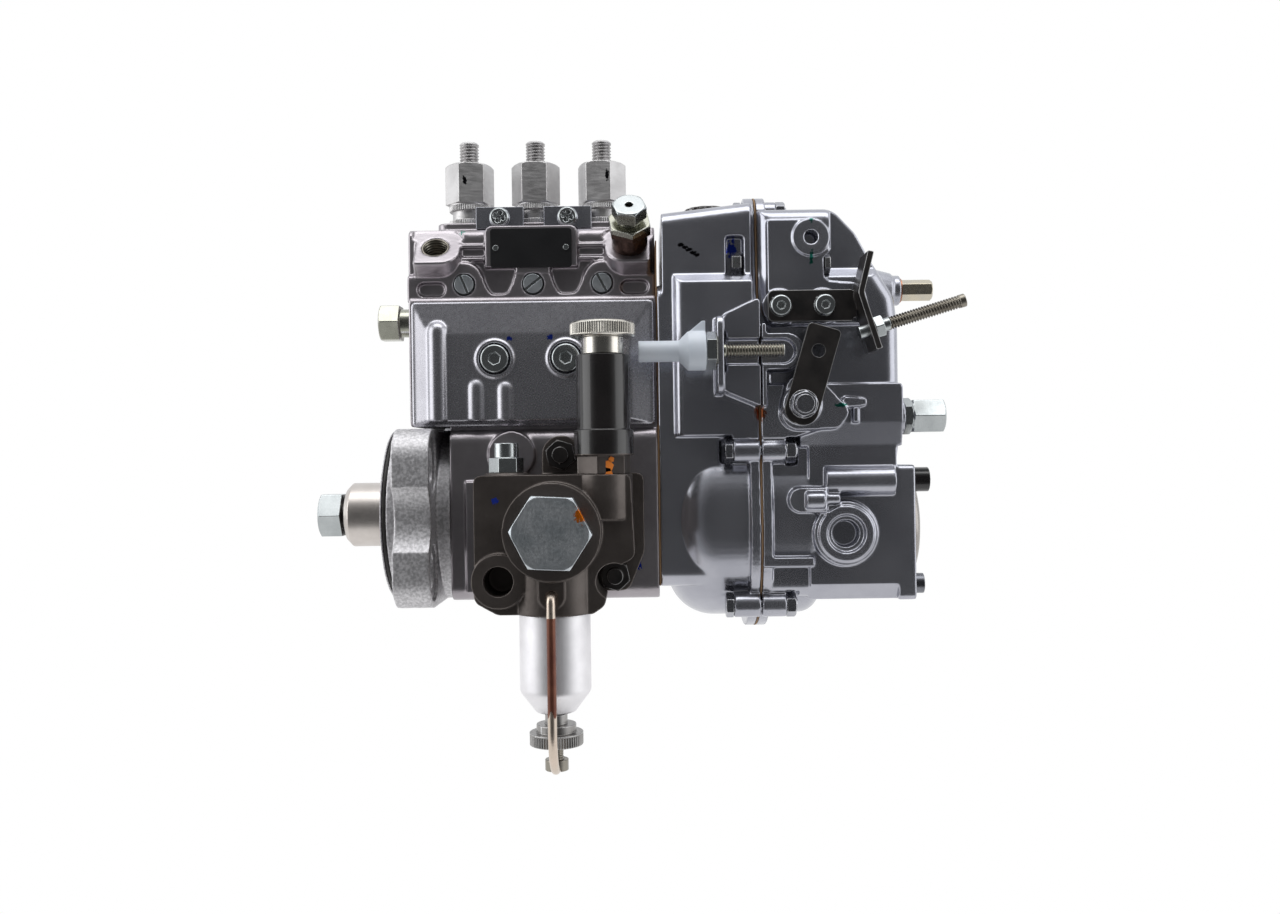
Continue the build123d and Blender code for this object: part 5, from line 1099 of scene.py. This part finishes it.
# ---- feed pump, primer and strainer
@dataclass
class FeedPump:
    """Feed pump plug and fittings, hand primer, strainer bowl, bail and clamp."""

    primer: Pair = (93.3, -68.0)
    primer_r: float = 10.33
    primer_foot_z: float = 27.7
    paint_spots: tuple[tuple[float, ...], ...] = (
        (0.6, 18.6, 3.6, 7, 12.0), (1.8, 22.4, 2.6, 6, 40.0), (3.4, 25.2, 1.3, 5, 10.0),
    )
    knob_z: float = 78.0
    knob_height: float = 4.6
    bowl: Pair = (71.3, -66.0)
    nut_y: float = -58.0
    plug_turn: float = 27.0
    stain_z: Pair = (-78.6, -39.4)
    clamp_nut_z: float = -96.2
    clamp_stud_z: float = -103.5

    def fittings(self) -> None:
        """Makes the plug, the nuts and the outlet fitting."""
        low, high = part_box("feed_pump_plug")
        middle = ((low[0] + high[0]) / 2 / MM, high[1] / MM, (low[2] + high[2]) / 2 / MM)
        swivel = Swivel(middle, FRONT, (high[1] - low[1]) / MM + 1.0, self.plug_turn)
        Formed("plug_turned", ("feed_pump_plug",), Finish.PLUG_STEEL, 0.33, 1, (swivel,)).build()
        nuts = Zone(Finish.BLACK_STEEL, y=(self.nut_y, FAR))
        Formed("fitting_set", ("feed_pump_fittings",), Finish.ZINC, 0.28, 1, (), (nuts,)).build()

    def hand_primer(self) -> None:
        """Makes the primer barrel on its hexagon, and the knurled knob on its rod."""
        x, y = self.primer
        base = Zone(Finish.FEED, z=(-FAR, self.primer_foot_z))
        Formed("primer_barrel_set", ("primer_barrel",), Finish.BLACK_PAINT, 0.33, 1, (), (base,)).build()
        knurl = Knurl((x, y, self.knob_z), UP, self.knob_height, 14.0, skin=0.9, depth=0.55, teeth=84)
        Formed("primer_knob_turned", ("primer_knob",), Finish.NICKEL, 0.25, 1, (knurl,)).build()
        bm = bmesh.new()
        for across, z, radius, sides, turn in self.paint_spots:
            prism(bm, stand((x + across, y - self.primer_r, z), FRONT, turn), 0.12, radius, sides)
        new_piece("primer_paint", bm, body_of("primer_barrel"), Finish.ORANGE)

    def strainer(self) -> None:
        """Makes the bowl, the bail and the clamp."""
        x, y = self.bowl
        stain = Stain(Finish.BAIL_STAIN, z=self.stain_z)
        knurl = Knurl((x, y, self.clamp_nut_z), UP, 4.8, 11.5, skin=0.9, depth=0.45, teeth=60)
        thread = Thread((x, y, self.clamp_stud_z), UP, 16.0, 3.0, skin=0.6, depth=0.45, pitch=1.0)
        Formed("bowl_drawn", ("strainer_bowl",), Finish.BRIGHT, 0.42, 2).build()
        Formed("bail_bent", ("bail",), Finish.BAIL_WIRE, 0.26, 1, (), (stain,)).build()
        Formed("clamp_nut_turned", ("clamp_nut",), Finish.KNURL_STEEL, 0.28, 1, (knurl,)).build()
        Formed("clamp_stud_turned", ("clamp_stud",), Finish.THREAD_STEEL, 0.26, 1, (thread,)).build()

    def build(self) -> None:
        """Builds the feed pump's pieces."""
        self.fittings()
        self.hand_primer()
        self.strainer()


# ---- governor trim
@dataclass
class GovernorTrim:
    """Lever, stops, caps, joint bolts and the small bolts of the governor."""

    stop_cut: Cut = Cut(1.25, 0.75)
    stop_r: float = 2.95
    stop_skin: float = 2.065
    full_foot: Point = (146.5, -59.0, 71.6)
    full_length: float = 24.9
    full_xs: Pair = (142.0, 176.0)
    idle_foot: Point = (217.6, -59.0, 82.42)
    idle_length: float = 31.5
    idle_lean: float = math.radians(16.5)
    bracket_screws: tuple[Pair, ...] = ((171.3, 91.6), (190.7, 91.6))
    bracket_face_y: float = -56.0
    bracket_seat_y: float = -52.7
    damper_z: float = 80.0
    washer_foot: Point = (230.55, -20.0, 102.0)
    washer_radii: Pair = (3.0, 5.6)
    washer_height: float = 0.6

    def stops(self) -> None:
        """Makes the full-load and idle screws with threads, their nuts and the stop bracket."""
        axis = (math.cos(self.idle_lean), 0.0, math.sin(self.idle_lean))
        full = Thinned(self.full_foot, RIGHT, self.full_length, self.stop_r, self.stop_skin)
        idle = Thinned(self.idle_foot, axis, self.idle_length, self.stop_r, self.stop_skin)
        body = body_of("stop_screws")
        threaded_sleeve("full_load_thread", body, Finish.THREAD_STEEL, full, self.stop_cut)
        threaded_sleeve("idle_thread", body, Finish.THREAD_STEEL, idle, self.stop_cut)
        zones = (
            Zone(Finish.OLIVE_STEEL, x=self.full_xs),
            Zone(Finish.THREAD_STEEL, x=(self.idle_foot[0], FAR)),
        )
        Formed("stop_screw_set", ("stop_screws",), Finish.ZINC, 0.22, 1, (full, idle), zones).build()
        face = self.bracket_face_y
        stars = [Recess((x, face, z), FRONT, 1.4, width=1.5, reach=2.0) for x, z in self.bracket_screws]
        heads = Heads(Finish.ZINC, y=(-FAR, self.bracket_seat_y), places=self.bracket_screws, reach=5.2)
        Formed("stop_bracket_bent", ("stop_bracket",), Finish.BLACK_STEEL, 0.27, 1, stars, (heads,)).build()
        Formed("seal_cap_moulded", ("screw_seal_cap",), Finish.NYLON, 0.3, 2).build()

    def levers_and_caps(self) -> None:
        """Makes the control lever and its shaft, the cap nuts, the top cap and the joint bolts."""
        damper = Zone(Finish.YELLOW_ZINC, z=(self.damper_z, FAR))
        for piece in (
            Formed("lever_stamped", ("control_lever",), Finish.BLACK_STEEL, 0.24, 1),
            Formed("lever_shaft_set", ("control_shaft",), Finish.BOLT_STEEL, 0.25, 1),
            Formed("cap_nut_set", ("cap_nuts",), Finish.ZINC, 0.27, 1, (), (damper,)),
            Formed("top_cap", ("top_lid",), Finish.BLACK_STEEL, 0.3, 1),
            Formed("joint_bolt_set", ("joint_bolts",), Finish.BOLT_STEEL, 0.33, 1),
        ):
            piece.build()

    def small_bolts(self) -> None:
        """Makes the bolts in the pockets of the governor housing and cover, and the copper washer."""
        body = body_of("governor_housing")
        for name, foot, length, radius in (
            ("pocket_bolt", (151.0, -36.2, 113.0), 4.4, 5.2),
            ("panel_bolt", (192.2, -40.6, 111.6), 2.8, 4.6),
        ):
            bm = bmesh.new()
            prism(bm, stand(foot, RIGHT), length, radius, 6)
            new_piece(name, bm, body, Finish.DARK_STEEL, edge_mm=0.4)
        inner, outer = self.washer_radii
        top = self.washer_height
        bm = bmesh.new()
        ring = [(0.0, inner), (0.0, outer), (top, outer), (top, inner)]
        lathe(bm, stand(self.washer_foot, RIGHT), ring)
        new_piece("copper_washer", bm, body, Finish.COPPER)

    def build(self) -> None:
        """Builds the governor's trim."""
        self.stops()
        self.levers_and_caps()
        self.small_bolts()


# ---- plunger springs
@dataclass
class PlungerSprings:
    """Plunger springs, each copied anew from its node and carried by the housing's body."""

    lift: float = 8.0

    def build(self) -> None:
        """Makes each spring anew from its node."""
        body = frame["nodes"]["pump_housing"]["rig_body"]
        for number in (1, 2, 3):
            node = f"plunger_spring_{number}"
            coil = bare_copy(f"{node}_coil", (node,))
            dress(coil, Finish.SPRING)
            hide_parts(node)
            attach(coil, body)
            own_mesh(coil)
            log.info("%s: %d faces", coil.name, len(coil.data.polygons))


# ---- nodes that keep their shape
@dataclass
class CarriedNodes:
    """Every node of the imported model, dressed in the finish that bears the name of its slot."""

    def build(self) -> None:
        """Dresses each node."""
        finishes = {finish.value.name: finish for finish in Finish}
        slots = {entry["node"]: entry["material_slot"] for entry in frame["record"]["subparts"]}
        for name, obj in frame["nodes"].items():
            dress(obj, finishes[slots[name]])
        log.info("dressed %d nodes", len(frame["nodes"]))


# ---- studio
@dataclass
class Studio:
    """Camera, floor, world and lamps."""

    eye: Point = (0.1086, -0.560, 0.026)
    roll_deg: float = 0.8
    lens_mm: float = 32.51
    sensor_mm: float = 36.0
    clip: Pair = (0.01, 50.0)
    floor_z: float = -0.30
    floor_front: float = -0.30
    floor_half: float = 6.0
    aim: Point = (0.1, 0.0, 0.03)

    def camera(self) -> None:
        """Sets the camera level in front of the feed pump side."""
        data = bpy.data.cameras.new("camera")
        data.lens = self.lens_mm
        data.sensor_width = self.sensor_mm
        data.clip_start, data.clip_end = self.clip
        obj = place_object("camera", data)
        roll = Matrix.Rotation(math.radians(self.roll_deg), 4, "Y")
        obj.matrix_world = Matrix.Translation(self.eye) @ roll @ Matrix.Rotation(math.pi / 2, 4, "X")
        bpy.context.scene.camera = obj

    def world(self) -> None:
        """Makes a white world with a dark room in front of the pump."""
        g = Graph(bpy.data.worlds.new("studio"))
        split = g.add("ShaderNodeSeparateXYZ", {0: g.add("ShaderNodeTexCoord").outputs["Generated"]})
        front = g.spread(split.outputs["Y"], (-0.92, -0.25), (0.07, 1.0), smooth=True)
        light = g.add("ShaderNodeBackground", {"Color": (0.97, 0.985, 1.0), "Strength": front})
        white = g.add("ShaderNodeBackground", {"Color": WHITE})
        seen = g.add("ShaderNodeLightPath").outputs["Is Camera Ray"]
        g.choose(seen, light, white, "ShaderNodeOutputWorld")
        bpy.context.scene.world = g.owner

    def floor(self) -> None:
        """Lays a pale floor that reads as white."""
        mesh = bpy.data.meshes.new("floor")
        half, front, z = self.floor_half, self.floor_front, self.floor_z
        corners = [(-half, front, z), (half, front, z), (half, half, z), (-half, half, z)]
        mesh.from_pydata(corners, [], [(0, 1, 2, 3)])
        floor = place_object("floor", mesh)
        g = Graph(bpy.data.materials.new("floor_white"))
        diffuse = g.add("ShaderNodeBsdfDiffuse", {"Color": (0.9, 0.9, 0.9)})
        glow = g.add("ShaderNodeEmission", {"Color": WHITE})
        rays = g.add("ShaderNodeLightPath").outputs
        seen = g.combine("MAXIMUM", rays["Is Camera Ray"], rays["Is Glossy Ray"])
        seen = g.combine("MAXIMUM", seen, rays["Is Transmission Ray"])
        g.choose(seen, diffuse, glow, "ShaderNodeOutputMaterial")
        g.owner.cycles.emission_sampling = "NONE"
        mesh.materials.append(g.owner)

    def lamp(self, name: str, place: Point, size: Pair, power: float) -> None:
        """Hangs one soft box that points at the pump.

        Args:
            name: The lamp's name.
            place: Where it hangs, in metres.
            size: Its width and height.
            power: Its power in watts.
        """
        data = bpy.data.lights.new(name, "AREA")
        data.shape = "RECTANGLE"
        data.size, data.size_y = size
        data.energy = power
        obj = place_object(name, data)
        obj.location = place
        obj.rotation_euler = (Vector(self.aim) - Vector(place)).to_track_quat("-Z", "Y").to_euler()

    def build(self) -> None:
        """Builds the whole studio."""
        self.camera()
        self.world()
        self.floor()
        self.lamp("left_box", (-1.05, -0.38, 0.35), (0.9, 1.1), 5.0)
        self.lamp("right_box", (1.25, -0.38, 0.30), (0.9, 1.1), 3.0)
        self.lamp("top_box", (0.1, -0.30, 1.00), (1.2, 0.6), 5.0)
        bpy.context.scene.view_settings.view_transform = "Standard"
        log.info("studio ready")


def main() -> None:
    """Builds the looks."""
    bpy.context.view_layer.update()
    CarriedNodes().build()
    for group in (Castings(), DeliveryHead(), HousingTrim(), FeedPump(), GovernorTrim(), PlungerSprings()):
        group.build()
    Studio().build()


if __name__ == "__main__":
    main()
